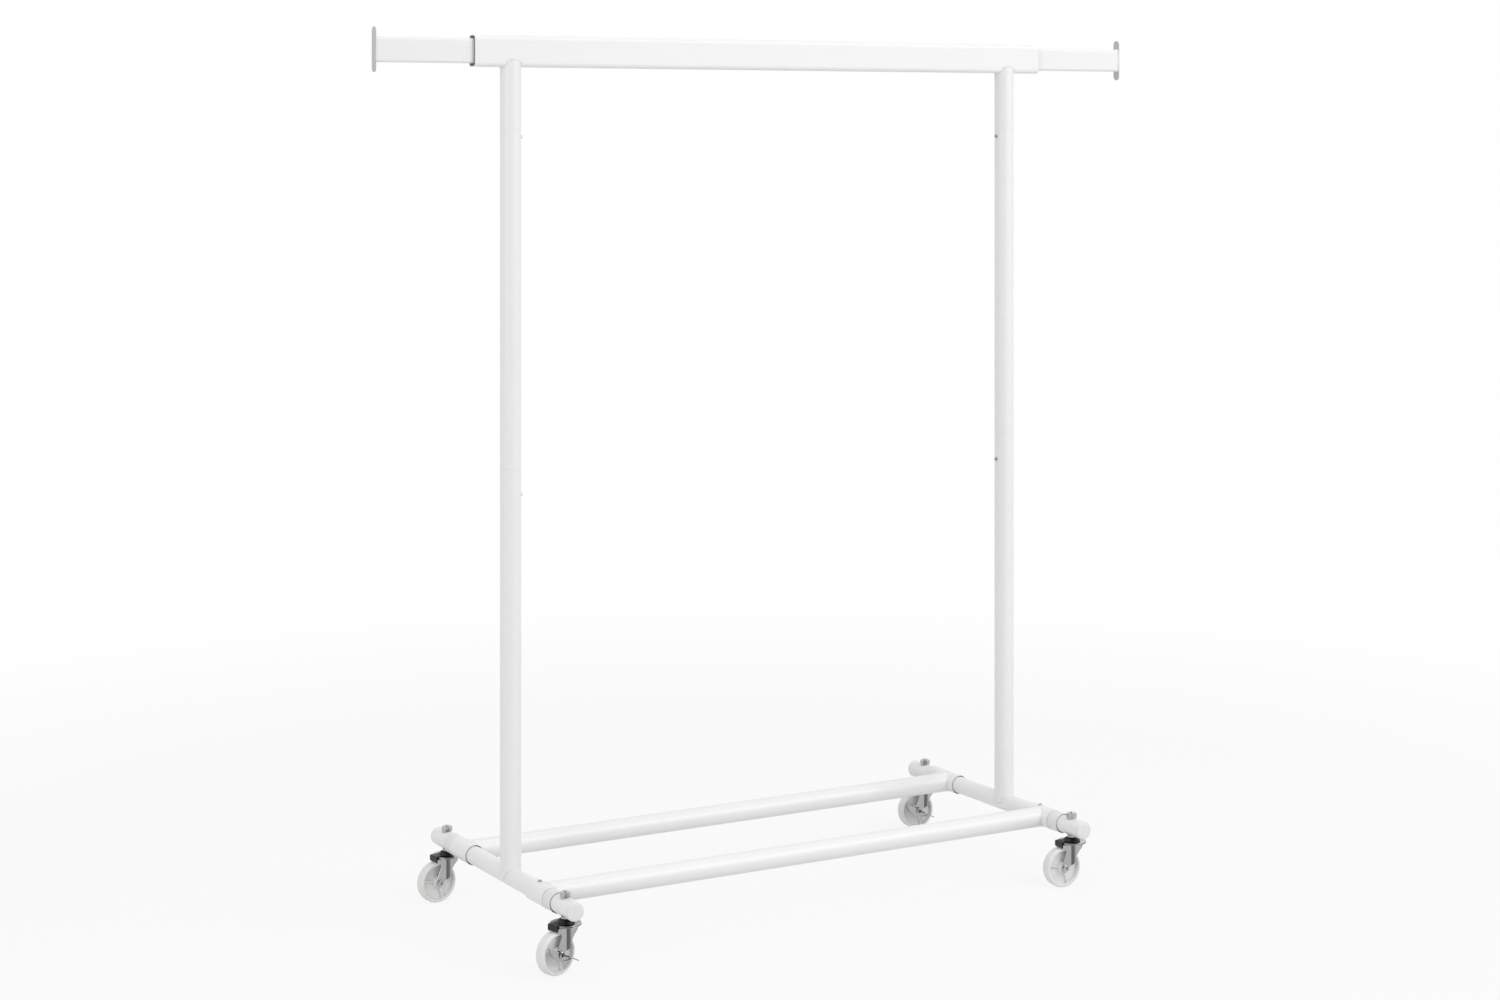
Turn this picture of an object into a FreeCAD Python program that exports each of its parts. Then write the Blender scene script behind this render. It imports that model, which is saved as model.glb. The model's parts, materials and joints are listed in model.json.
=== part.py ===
import FreeCAD, Part

# Rolling clothes rack: a white tube frame on four swivel casters, with a hanging rail that
# lengthens at both ends.  Millimetres, +Z up.  The origin lies on the floor under the middle of
# the rail and of the two feet; +X runs along the rail, -Y is the side of the front bar.

import os

import Sketcher

V = FreeCAD.Vector
AXIS_X, AXIS_Y, AXIS_Z = V(1, 0, 0), V(0, 1, 0), V(0, 0, 1)

doc = FreeCAD.newDocument("clothes_rack")
sheet = doc.addObject("Spreadsheet::Sheet", "Sizes")

SIZES = [
    # posts, in three lengths that plug together
    ("post_span", 1076),        # between the two post axes
    ("post_setback", -30),      # the posts stand a little forward of the feet's middle
    ("post_diameter", 38),
    ("tube_wall", 1.5),
    ("seam_upper", 1447),       # heights of the two joints in each post
    ("seam_lower", 840),
    ("spigot_above", 35),
    ("spigot_below", 72),
    ("screw_clearance", 2.6),   # radius of the holes for the small screws
    ("upper_screw_drop", 14),   # screw below its seam
    ("lower_screw_drop", 47),
    # hanging rail and its two sliding arms
    ("rail_length", 1226),
    ("rail_height", 57),
    ("rail_width", 27),
    ("rail_corner", 8),
    ("rail_level", 1586),       # rail axis above the floor
    ("saddle_rise", 14),        # the post's end climbs this far up the rail's sides
    ("saddle_bend", 22),        # radius of the arch that ends it
    ("arm_height", 45),
    ("arm_width", 15),
    ("arm_corner", 5),
    ("arm_inside", 160),        # what stays inside the rail
    ("arm_out_left", 185),      # what stands out at rest
    ("arm_out_right", 203),
    ("stop_height", 80),
    ("stop_width", 17),
    ("stop_thickness", 2),
    ("bush_length", 28),
    ("bush_recess", 0.3),
    ("guide_length", 16),       # plastic block on each arm's inner end
    ("slide_gap", 0.35),
    ("snug_gap", 0.05),
    # feet, long bars and their sleeves
    ("foot_length", 578),
    ("foot_diameter", 33),
    ("foot_level", 112),        # foot axis above the floor
    ("cap_head", 5),
    ("cap_plug", 16),
    ("bar_offset", 162),        # bar axes each side of the feet's middle
    ("sleeve_length", 72),
    ("collar_length", 30),
    ("sleeve_screw_offset", 152),
    # casters
    ("caster_offset", 253),
    ("heading_front_left", 16),     # degrees, each caster's nose turned from +X
    ("heading_front_right", -3),
    ("heading_back_left", 8),
    ("heading_back_right", -4),
    ("wheel_diameter", 75),
    ("wheel_width", 21),
    ("trail", 23),
    ("axle_diameter", 8),
    ("running_gap", 0.05),
    ("fork_width", 28),         # outside, where the axle passes
    ("crown_width", 38),        # outside, where the legs bulge under the crown
    ("bulge_back", -10),        # the bulge's rear and front bends, from the stem
    ("bulge_front", 12),
    ("fork_back", -28),
    ("fork_gauge", 2),
    ("fork_top", 81.5),
    ("plate_radius", 28),
    ("plate_top", 85),
    ("dome_top", 92),
    ("tongue_width", 24),
    ("tongue_gauge", 1.8),
    ("tongue_low", 76.5),
    ("stem_diameter", 10),
    ("stem_top", 140.5),
    ("washer_radius", 9.5),
    ("washer_gauge", 1.6),
    ("nut_across", 17),
    ("nut_height", 8),
    ("rib_turn", -43),          # degrees, how the wheels' ribs stand at rest
    ("lever_room", 3.6),        # between the near leg and the axle's head
    ("brake_arc", 41),          # radius of the lever's round edge
    ("brake_sagitta", 14),      # how far that edge hangs below its straight one
    ("brake_shift", 4.5),       # the axle lies off the lever's middle
    ("brake_tilt", -27),
]

for row, (alias, number) in enumerate(SIZES, start=1):
    sheet.set(f"A{row}", alias)
    sheet.set(f"B{row}", str(number))
    sheet.setAlias(f"B{row}", alias)
doc.recompute()

ALIASES = {alias for alias, _ in SIZES}
SIDES = {"left": -1, "right": 1}
ENDS = {"front": -1, "back": 1}
CORNERS = [(end, side) for end in ENDS for side in SIDES]
BRAKED = [("front", "left"), ("back", "right")]
MITRE = 0.41421356              # tangent of 22.5 degrees, for walls that turn by 45 degrees


# ---------------------------------------------------------------- small helpers
def size(text):
    """Write a formula of sheet aliases as an expression on the sheet's cells."""
    out = []
    for word in str(text).replace("(", " ( ").replace(")", " ) ").split():
        out.append(f"Sizes.{word}" if word in ALIASES else word)
    return " ".join(out).replace("cos (", "cos(").replace("sin (", "sin(")


def value(text):
    """The number that such a formula comes to."""
    return float(sheet.evalExpression(size(text)))


def place(obj, x=0, y=0, z=0, turn=0, axis=AXIS_Z):
    """Put an object at formula coordinates, turned by a formula in degrees about an axis."""
    obj.Placement = FreeCAD.Placement(V(0, 0, 0), FreeCAD.Rotation(axis, value(turn)))
    for letter, text in (("x", x), ("y", y), ("z", z)):
        obj.setExpression(f"Placement.Base.{letter}", size(text))
    return obj


def cylinder(name, radius, length, x=0, y=0, z=0, along=AXIS_Z):
    """A cylinder that starts at (x, y, z) and runs along an axis."""
    obj = doc.addObject("Part::Cylinder", name)
    obj.setExpression("Radius", size(radius))
    obj.setExpression("Height", size(length))
    place(obj, x, y, z)
    obj.Placement.Rotation = FreeCAD.Rotation(AXIS_Z, along)
    return obj


def rod_x(name, radius, length, x, y, z):
    """A cylinder whose middle is at (x, y, z), lying along X."""
    return cylinder(name, radius, length, f"{x} - ( {length} ) / 2", y, z, AXIS_X)


def rod_y(name, radius, length, x, y, z):
    """A cylinder whose middle is at (x, y, z), lying along Y."""
    return cylinder(name, radius, length, x, f"{y} - ( {length} ) / 2", z, AXIS_Y)


def cut(name, base, *tools):
    """Take one or more tools away from a base."""
    for index, tool in enumerate(tools):
        last = index == len(tools) - 1
        result = doc.addObject("Part::Cut", name if last else f"{name}_step")
        result.Base = base
        result.Tool = tool
        result.Refine = False
        base = result
    base.Label = name
    return base


def group(name, members):
    """Several separate solids of the same kind kept as one node."""
    obj = doc.addObject("Part::Compound", name)
    obj.Links = members
    obj.Label = name
    return obj


def new_body(name):
    body = doc.addObject("PartDesign::Body", name)
    body.Label = name
    return body


def new_sketch(body, plane):
    """A sketch on one of the body's own origin planes."""
    sketch = body.newObject("Sketcher::SketchObject", f"{body.Name}_sketch")
    faces = [f for f in body.Origin.OriginFeatures if f.Role == plane]
    sketch.AttachmentSupport = [(faces[0], "")]
    sketch.MapMode = "FlatFace"
    return sketch


def bound(sketch, constraint, text):
    """Add a dimension and tie it to the sheet."""
    index = sketch.addConstraint(constraint)
    sketch.setExpression(f"Constraints[{index}]", size(text))


def polygon(sketch, corners):
    """A closed outline whose corners are pairs of formulas, each tied to the sheet."""
    points = [V(value(a), value(b), 0) for a, b in corners]
    first = sketch.GeometryCount
    count = len(points)
    for i, point in enumerate(points):
        sketch.addGeometry(Part.LineSegment(point, points[(i + 1) % count]))
    for i in range(count):
        sketch.addConstraint(Sketcher.Constraint(
            "Coincident", first + i, 2, first + (i + 1) % count, 1))
    for i, (a, b) in enumerate(corners):
        bound(sketch, Sketcher.Constraint("DistanceX", first + i, 1, points[i].x), a)
        bound(sketch, Sketcher.Constraint("DistanceY", first + i, 1, points[i].y), b)


def rectangle(sketch, width, height):
    """A rectangle about the sketch's origin."""
    a, b = f"( {width} ) / 2", f"( {height} ) / 2"
    polygon(sketch, [(f"- {a}", f"- {b}"), (a, f"- {b}"), (a, b), (f"- {a}", b)])


def circle(sketch, radius, a="0", b="0"):
    """A circle about a point given by two formulas."""
    centre = V(value(a), value(b), 0)
    geo = sketch.addGeometry(Part.Circle(centre, AXIS_Z, value(radius)))
    if centre.Length == 0:
        sketch.addConstraint(Sketcher.Constraint("Coincident", geo, 3, -1, 1))
    else:
        bound(sketch, Sketcher.Constraint("DistanceX", geo, 3, centre.x), a)
        bound(sketch, Sketcher.Constraint("DistanceY", geo, 3, centre.y), b)
    bound(sketch, Sketcher.Constraint("Radius", geo, value(radius)), radius)


def pad(body, sketch, length, kind="Pad"):
    """Pad or pocket a sketch equally to both sides of its plane."""
    feature = body.newObject(f"PartDesign::{kind}", f"{body.Name}_{kind.lower()}")
    feature.Profile = sketch
    feature.setExpression("Length", size(length))
    feature.SideType = "Symmetric"
    return feature


def revolve(body, sketch, axis="V_Axis"):
    feature = body.newObject("PartDesign::Revolution", f"{body.Name}_turned")
    feature.Profile = sketch
    feature.ReferenceAxis = (sketch, [axis])
    feature.Angle = 360
    return feature


def fillet(body, feature, radius, test):
    """Round every edge of a feature whose middle and direction pass a test."""
    doc.recompute()
    names = []
    for index, edge in enumerate(feature.Shape.Edges, start=1):
        middle = edge.valueAt((edge.FirstParameter + edge.LastParameter) / 2)
        ends = edge.valueAt(edge.LastParameter) - edge.valueAt(edge.FirstParameter)
        if ends.Length > 0 and test(middle, ends.normalize()):
            names.append(f"Edge{index}")
    rounded = body.newObject("PartDesign::Fillet", f"{body.Name}_round")
    rounded.Base = (feature, names)
    rounded.setExpression("Radius", size(radius))
    return rounded


def turned(name, outline, plane="XZ_Plane", axis="V_Axis"):
    """A body turned about an axis from an outline of (radius, level) formulas."""
    body = new_body(name)
    sketch = new_sketch(body, plane)
    polygon(sketch, outline)
    revolve(body, sketch, axis)
    return body


def post_x(side):
    return f"{SIDES[side]} * post_span / 2"


def caster_x(end, side, ahead, across="0"):
    """X of a point given along and across a caster's heading."""
    return (f"{post_x(side)} + ( {ahead} ) * cos ( heading_{end}_{side} * 1deg )"
            f" - ( {across} ) * sin ( heading_{end}_{side} * 1deg )")


def caster_y(end, side, ahead, across="0"):
    """Y of such a point."""
    return (f"{ENDS[end]} * caster_offset + ( {ahead} ) * sin ( heading_{end}_{side} * 1deg )"
            f" + ( {across} ) * cos ( heading_{end}_{side} * 1deg )")


# ---------------------------------------------------------------- hanging rail
def section_bar(name, width, height, corner, length, bore_width, bore_height, bore_corner):
    """A straight bar along X with a rounded rectangular section and bore."""
    body = new_body(name)
    sketch = new_sketch(body, "YZ_Plane")
    rectangle(sketch, width, height)
    hollow = bore_width is not None
    if hollow:
        rectangle(sketch, bore_width, bore_height)
    bar = pad(body, sketch, length)
    edge_y = value(width) / 2 - 0.01

    def outer(middle, direction):
        return abs(direction.x) > 0.99 and abs(middle.y) > edge_y

    def inner(middle, direction):
        corner_y = abs(abs(middle.y) - value(bore_width) / 2) < 0.01
        return abs(direction.x) > 0.99 and corner_y

    bar = fillet(body, bar, corner, outer)
    if hollow:
        fillet(body, bar, bore_corner, inner)
    return body


def rail_core():
    """The rail's full outer section, used to cope the posts."""
    core = section_bar("rail_core", "rail_width", "rail_height", "rail_corner",
                       "rail_length", None, None, None)
    return place(core, 0, "post_setback", "rail_level")


def rail_tube():
    rail = section_bar("rail_tube", "rail_width", "rail_height", "rail_corner", "rail_length",
                       "rail_width - 2 * tube_wall", "rail_height - 2 * tube_wall",
                       "rail_corner - tube_wall")
    return place(rail, 0, "post_setback", "rail_level")


def rail_bush(side):
    """Plastic guide in the rail's mouth, set back a little from the end."""
    bush = section_bar(f"rail_bush_{side}",
                       "rail_width - 2 * tube_wall - 2 * snug_gap",
                       "rail_height - 2 * tube_wall - 2 * snug_gap",
                       "rail_corner - tube_wall", "bush_length",
                       "arm_width + 2 * slide_gap", "arm_height + 2 * slide_gap",
                       "arm_corner + slide_gap")
    middle = f"{SIDES[side]} * ( rail_length / 2 - bush_recess - bush_length / 2 )"
    return place(bush, middle, "post_setback", "rail_level")


def arm(side):
    """Extension arm: a slimmer tube that slides in and out of the rail."""
    out = f"arm_out_{side}"
    body = section_bar(f"arm_{side}", "arm_width", "arm_height", "arm_corner",
                       f"{out} + arm_inside",
                       "arm_width - 2 * tube_wall", "arm_height - 2 * tube_wall",
                       "arm_corner - tube_wall")
    middle = f"{SIDES[side]} * ( rail_length / 2 + ( {out} - arm_inside ) / 2 )"
    return place(body, middle, "post_setback", "rail_level")


def arm_guide(side):
    """Plastic block on the arm's inner end, filling the rail's bore."""
    body = section_bar(f"arm_guide_{side}",
                       "rail_width - 2 * tube_wall - 2 * slide_gap",
                       "rail_height - 2 * tube_wall - 2 * slide_gap",
                       "rail_corner - tube_wall", "guide_length",
                       "arm_width - 4", "arm_height - 4", "3")
    middle = f"{SIDES[side]} * ( rail_length / 2 - arm_inside - guide_length / 2 )"
    return place(body, middle, "post_setback", "rail_level")


def arm_stop(side):
    """Upright plate with round ends, closing the arm's outer end."""
    body = new_body(f"arm_stop_{side}")
    sketch = new_sketch(body, "YZ_Plane")
    rectangle(sketch, "stop_width", "stop_height")
    plate = pad(body, sketch, "stop_thickness")
    top = value("stop_height") / 2 - 0.01
    fillet(body, plate, "stop_width / 2 - snug_gap",
           lambda middle, direction: abs(direction.x) > 0.99 and abs(middle.z) > top)
    middle = f"{SIDES[side]} * ( rail_length / 2 + arm_out_{side} + stop_thickness / 2 )"
    return place(body, middle, "post_setback", "rail_level")


# ---------------------------------------------------------------- posts
def tube_z(name, outer, x, y, low, high):
    """Upright tube between two levels."""
    skin = cylinder(f"{name}_skin", outer, f"{high} - ( {low} )", x, y, low)
    bore = cylinder(f"{name}_bore", f"{outer} - tube_wall", f"{high} - ( {low} )", x, y, low)
    return cut(f"{name}_tube", skin, bore)


def screw_hole(name, side, level):
    """Clearance hole through the inner side of a post."""
    length = "post_diameter / 2"
    middle = f"{post_x(side)} - {SIDES[side]} * post_diameter / 4"
    return rod_x(name, "screw_clearance", length, middle, "post_setback", level)


def upper_post(side, core):
    """Top length of a post: an arched end that wraps the rail's underside."""
    name = f"upper_post_{side}"
    top = "rail_level - rail_height / 2 + saddle_rise"
    tube = tube_z(name, "post_diameter / 2", post_x(side), "post_setback", "seam_upper", top)
    arch_level = f"{top} - saddle_bend"
    arch = doc.addObject("Part::Fuse", f"{name}_arch")
    arch.Base = rod_y(f"{name}_arc", "saddle_bend", "2 * post_diameter",
                      post_x(side), "post_setback", arch_level)
    block = doc.addObject("Part::Box", f"{name}_block")
    block.setExpression("Length", size("2 * post_diameter"))
    block.setExpression("Width", size("2 * post_diameter"))
    block.setExpression("Height", size(f"{arch_level} - seam_upper"))
    place(block, f"{post_x(side)} - post_diameter", "post_setback - post_diameter", "seam_upper")
    arch.Tool = block
    arched = doc.addObject("Part::Common", f"{name}_arched")
    arched.Base = tube
    arched.Tool = arch
    arched.Refine = False
    return cut(name, arched, core)


def middle_post(side):
    name = f"middle_post_{side}"
    tube = tube_z(name, "post_diameter / 2", post_x(side), "post_setback",
                  "seam_lower", "seam_upper")
    return cut(name, tube, screw_hole(f"{name}_hole", side, "seam_upper - upper_screw_drop"))


def lower_post(side):
    """Bottom length of a post, coped onto the foot tube it is welded to."""
    name = f"lower_post_{side}"
    tube = tube_z(name, "post_diameter / 2", post_x(side), "post_setback",
                  "foot_level", "seam_lower")
    foot = rod_y(f"{name}_cope", "foot_diameter / 2", "2 * post_diameter",
                 post_x(side), "post_setback", "foot_level")
    hole = screw_hole(f"{name}_hole", side, "seam_lower - lower_screw_drop")
    return cut(name, tube, foot, hole)


def post_spigots():
    """The inner tubes that join the post lengths."""
    members = []
    for side in SIDES:
        for level in ("upper", "lower"):
            name = f"spigot_{level}_{side}"
            seam = f"seam_{level}"
            tube = tube_z(name, "post_diameter / 2 - tube_wall - snug_gap", post_x(side),
                          "post_setback", f"{seam} - spigot_below", f"{seam} + spigot_above")
            hole = screw_hole(f"{name}_hole", side, f"{seam} - {level}_screw_drop")
            members.append(cut(name, tube, hole))
    return group("post_spigots", members)


def pan_screw(name):
    """Pan-head screw along +Z: its head sits on the XY plane, its shank goes down."""
    body = turned(name, [("0", "-9"), ("2.5", "-9"), ("2.5", "0"), ("4.2", "0"),
                         ("4.2", "1"), ("3.2", "2.4"), ("0", "2.8")])
    for length, width in (("4.4", "0.9"), ("0.9", "4.4")):
        sketch = new_sketch(body, "XY_Plane")
        rectangle(sketch, length, width)
        sketch.AttachmentOffset = FreeCAD.Placement(V(0, 0, 2.8), FreeCAD.Rotation())
        pad(body, sketch, "2.4", "Pocket")
    return body


def post_screws():
    """One screw under each seam, on the faces that look at each other."""
    members = []
    for side in SIDES:
        for level in ("upper", "lower"):
            screw = pan_screw(f"post_screw_{level}_{side}")
            inward = -SIDES[side]
            place(screw, f"{post_x(side)} + {inward} * post_diameter / 2", "post_setback",
                  f"seam_{level} - {level}_screw_drop", 90 * inward, AXIS_Y)
            members.append(screw)
    return group("post_screws", members)


# ---------------------------------------------------------------- feet and long bars
def foot_tube(side):
    """Tube along Y, drilled for two caster stems and the front sleeve's screw."""
    name = f"foot_tube_{side}"
    skin = rod_y(f"{name}_skin", "foot_diameter / 2", "foot_length", post_x(side), "0",
                 "foot_level")
    bore = rod_y(f"{name}_bore", "foot_diameter / 2 - tube_wall", "foot_length",
                 post_x(side), "0", "foot_level")
    low = "foot_level - foot_diameter"
    holes = [cylinder(f"{name}_stem_{end}", "stem_diameter / 2 + 0.3", "2 * foot_diameter",
                      post_x(side), f"{ENDS[end]} * caster_offset", low) for end in ENDS]
    screw = cylinder(f"{name}_screw", "screw_clearance", "foot_diameter", post_x(side),
                     "- sleeve_screw_offset", "foot_level")
    return cut(name, skin, bore, screw, *holes)


def long_bar(end):
    """Bar between the feet, its ends coped to the sleeves."""
    name = f"{end}_bar"
    y = f"{ENDS[end]} * bar_offset"
    skin = rod_x(f"{name}_skin", "post_diameter / 2", "post_span", "0", y, "foot_level")
    bore = rod_x(f"{name}_bore", "post_diameter / 2 - tube_wall", "post_span", "0", y,
                 "foot_level")
    copes = [rod_y(f"{name}_cope_{side}", "post_diameter / 2", "2 * post_diameter",
                   post_x(side), y, "foot_level") for side in SIDES]
    return cut(name, skin, bore, *copes)


def sleeve(end, side):
    """Short tube on the bar's end that slides over the foot tube."""
    name = f"sleeve_{end}_{side}"
    y = f"{ENDS[end]} * bar_offset"
    skin = rod_y(f"{name}_skin", "post_diameter / 2", "sleeve_length", post_x(side), y,
                 "foot_level")
    bore = rod_y(f"{name}_bore", "post_diameter / 2 - tube_wall", "sleeve_length",
                 post_x(side), y, "foot_level")
    tools = [bore]
    if end == "front":
        tools.append(cylinder(f"{name}_hole", "screw_clearance", "post_diameter",
                              post_x(side), "- sleeve_screw_offset", "foot_level"))
    return cut(name, skin, *tools)


def sleeve_collars():
    """Plastic bushes: a thin liner inside each sleeve and a collar at its outer mouth."""
    members = []
    for end, side in CORNERS:
        inner = "foot_diameter / 2 + snug_gap"
        liner = "post_diameter / 2 - tube_wall - snug_gap"
        rim = "post_diameter / 2 - 0.4"
        step = "0.8"
        body = turned(f"collar_{end}_{side}", [
            (inner, "-14"), (liner, "-14"), (liner, step), (rim, step),
            (rim, "collar_length"), (inner, "collar_length")])
        mouth = f"{ENDS[end]} * ( bar_offset + sleeve_length / 2 )"
        place(body, post_x(side), mouth, "foot_level", -90 * ENDS[end], AXIS_X)
        members.append(body)
    return group("sleeve_collars", members)


def sleeve_screws():
    """The screws that pin the front sleeves, heads on top."""
    members = []
    for side in SIDES:
        screw = pan_screw(f"sleeve_screw_{side}")
        place(screw, post_x(side), "- sleeve_screw_offset", "foot_level + post_diameter / 2")
        members.append(screw)
    return group("sleeve_screws", members)


def foot_cap(end, side):
    """Plastic end plug with a rounded head, hollow inside the tube."""
    head = "foot_diameter / 2"
    plug = "foot_diameter / 2 - tube_wall - snug_gap"
    body = turned(f"foot_cap_{end}_{side}", [
        ("0", "-2"), (f"{plug} - 2", "-2"), (f"{plug} - 2", "- cap_plug"),
        (plug, "- cap_plug"), (plug, "0"), (head, "0"), (head, "1.5"),
        (f"{head} - 0.9", "cap_head - 1.3"), (f"{head} - 3.2", "cap_head - 0.3"),
        (f"{head} - 6", "cap_head"), ("0", "cap_head")])
    return place(body, post_x(side), f"{ENDS[end]} * foot_length / 2", "foot_level",
                 -90 * ENDS[end], AXIS_X)


# ---------------------------------------------------------------- casters
def on_stem(obj, end, side, z="0"):
    """Turn a piece to its caster's heading and put it on the stem's axis."""
    return place(obj, post_x(side), f"{ENDS[end]} * caster_offset", z, f"heading_{end}_{side}")


def caster_washers():
    members = []
    for end, side in CORNERS:
        ring = turned(f"washer_{end}_{side}", [
            ("stem_diameter / 2 + 0.3", "0"), ("washer_radius", "0"),
            ("washer_radius", "washer_gauge"), ("stem_diameter / 2 + 0.3", "washer_gauge")])
        members.append(on_stem(ring, end, side, "foot_level + foot_diameter / 2"))
    return group("caster_washers", members)


def caster_nuts():
    """Hexagon nuts with chamfered corners, on top of the foot tubes."""
    members = []
    for end, side in CORNERS:
        name = f"nut_{end}_{side}"
        prism = doc.addObject("Part::Prism", f"{name}_hex")
        prism.Polygon = 6
        prism.setExpression("Circumradius", size("nut_across / 1.7320508"))
        prism.setExpression("Height", size("nut_height"))
        cone = turned(f"{name}_cone", [
            ("stem_diameter / 2 + snug_gap", "0"), ("nut_across / 2 + 1.5", "0"),
            ("nut_across / 2 + 1.5", "nut_height - 0.9"),
            ("nut_across / 2", "nut_height"), ("stem_diameter / 2 + snug_gap", "nut_height")])
        nut = doc.addObject("Part::Common", name)
        nut.Base = prism
        nut.Tool = cone
        members.append(on_stem(nut, end, side, "foot_level + foot_diameter / 2 + washer_gauge"))
    return group("caster_nuts", members)


def caster_stem(end, side):
    """Threaded stem through the foot tube, with a collar above the race and a rivet head
    below the fork."""
    shank = "stem_diameter / 2"
    collar = "foot_level - foot_diameter / 2"
    under = "fork_top - fork_gauge"
    stem = turned(f"caster_stem_{end}_{side}", [
        ("0", f"{under} - 2.6"), ("5.5", f"{under} - 2.6"), ("8.5", f"{under} - 1.2"),
        ("8.5", f"{under} - 0.3"), (shank, f"{under} - 0.3"), (shank, "dome_top + 0.3"),
        ("8", "dome_top + 0.3"), ("8", collar), (shank, collar),
        (shank, "stem_top - 1"), (f"{shank} - 1", "stem_top"), ("0", "stem_top")])
    return on_stem(stem, end, side)


def crown_plate(end, side):
    """Round pressed race on top of the fork: two flanges with a groove between them."""
    rim = "plate_radius"
    plate = turned(f"crown_plate_{end}_{side}", [
        ("stem_diameter / 2 + 0.4", "fork_top"), (f"{rim} - 0.8", "fork_top"),
        (rim, "fork_top + 0.6"), (rim, "fork_top + 1.1"), (f"{rim} - 0.8", "fork_top + 1.6"),
        (f"{rim} - 1.8", "fork_top + 1.6"), (f"{rim} - 1.8", "plate_top - 1.5"),
        (f"{rim} - 1", "plate_top - 1.5"), (f"{rim} - 0.3", "plate_top - 1"),
        (f"{rim} - 0.3", "plate_top - 0.5"), (f"{rim} - 1", "plate_top"),
        (f"{rim} - 7", "plate_top - 0.2"), (f"{rim} - 9", "plate_top - 1.2"),
        ("stem_diameter / 2 + 0.4", "plate_top - 1.2")])
    return on_stem(plate, end, side)


def race_cover(end, side):
    """Dark cover: a dome over the balls, and a tongue that turns down behind the wheel."""
    bore = "stem_diameter / 2 + running_gap"
    seat = "plate_top - 1.2"
    body = turned(f"race_cover_{end}_{side}", [
        (bore, seat), ("16.5", seat), ("16.5", f"{seat} + 2.2"), ("14.8", f"{seat} + 4.6"),
        ("11.5", "dome_top - 0.7"), ("9", "dome_top"), (bore, "dome_top")])
    tongue = new_sketch(body, "XZ_Plane")
    inside = "- plate_radius - 0.4"
    polygon(tongue, [("-10", "plate_top"), ("-10", "plate_top + tongue_gauge"),
                     (f"{inside} - tongue_gauge", "plate_top + tongue_gauge"),
                     (f"{inside} - tongue_gauge", "tongue_low"), (inside, "tongue_low"),
                     (inside, "plate_top")])
    pad(body, tongue, "tongue_width")
    return on_stem(body, end, side)


def plan_outline(inset, back, front):
    """The fork's section from above, as corners: straight legs that bulge at 45 degrees under
    the crown and draw in again at the nose.  An inset moves every wall in by that much."""
    slide = f"{MITRE} * ( {inset} )"
    leg, bulge = f"fork_width / 2 - {inset}", f"crown_width / 2 - {inset}"
    step = "( crown_width - fork_width ) / 2"
    half = [(back, leg), (f"bulge_back + {slide}", leg),
            (f"bulge_back + {step} + {slide}", bulge), (f"bulge_front - {slide}", bulge),
            (f"bulge_front + 9 - {slide}", f"{bulge} - 9"), (front, f"{bulge} - 9")]
    return half + [(x, f"- ( {y} )") for x, y in reversed(half)]


def fork(end, side):
    """Stamped fork: two legs that bulge outwards under the crown, cut back in front of the
    wheel, with a lobe behind each leg's top and a round end at the axle."""
    body = new_body(f"fork_{end}_{side}")
    outline = new_sketch(body, "XZ_Plane")
    axle = "wheel_diameter / 2"
    polygon(outline, [("fork_back", "fork_top"), ("18.5", "fork_top"), ("5", "fork_top - 13.5"),
                      ("-0.3", "fork_top - 21"), ("-5.5", f"{axle} + 7.5"),
                      ("- trail + 9.5", f"{axle} + 1"), ("- trail + 8.5", f"{axle} - 8.6"),
                      ("- trail - 8.5", f"{axle} - 8.6"), ("- trail - 8.5", f"{axle} + 2"),
                      ("-20.5", "fork_top - 13"), ("-20.5", "fork_top - 8.5"),
                      ("fork_back", "fork_top - 8.5")])
    pad(body, outline, "crown_width + 10")
    plan = new_sketch(body, "XY_Plane")
    rectangle(plan, "300", "300")
    polygon(plan, plan_outline("0", "-60", "60"))
    solid = pad(body, plan, "4 * fork_top", "Pocket")
    low, high = value(f"{axle} - 1"), value("fork_top") - 0.1
    leg_face = value("fork_width") / 2 - 1
    rear_bend, lobe_end = value("bulge_back") - 1, value("fork_back") + 1

    def bends(middle, direction):
        return abs(direction.z) > 0.99 and abs(middle.y) > leg_face and middle.x > rear_bend

    def leg_ends(middle, direction):
        return abs(direction.y) > 0.99 and middle.z < low

    def lobes(middle, direction):
        return abs(direction.y) > 0.99 and middle.x < lobe_end and low + 20 < middle.z < high

    def shoulders(middle, direction):
        return middle.z > high and abs(direction.y) < 0.9

    solid = fillet(body, solid, "6", bends)
    solid = fillet(body, solid, "8", leg_ends)
    solid = fillet(body, solid, "3.5", lobes)
    fillet(body, solid, "1.8", shoulders)
    inner = new_sketch(body, "XY_Plane")
    polygon(inner, plan_outline("fork_gauge", "-60", "60"))
    pad(body, inner, "2 * ( fork_top - fork_gauge )", "Pocket")
    bore = new_sketch(body, "XZ_Plane")
    circle(bore, "axle_diameter / 2 + snug_gap", "- trail", axle)
    pad(body, bore, "2 * fork_width", "Pocket")
    stem = new_sketch(body, "XY_Plane")
    circle(stem, "stem_diameter / 2 + 0.4")
    pad(body, stem, "4 * fork_top", "Pocket")
    return on_stem(body, end, side)


def axle_turn(end, side):
    """Rotation that lays a body's +Z along the axle, out to the near leg."""
    heading = FreeCAD.Rotation(AXIS_Z, value(f"heading_{end}_{side}"))
    return heading.multiply(FreeCAD.Rotation(AXIS_X, 90))


def on_axle(body, end, side):
    """Lay a body that was turned about Z on its caster's axle line."""
    place(body, caster_x(end, side, "- trail"), caster_y(end, side, "- trail"),
          "wheel_diameter / 2")
    body.Placement.Rotation = axle_turn(end, side)
    return body


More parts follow.
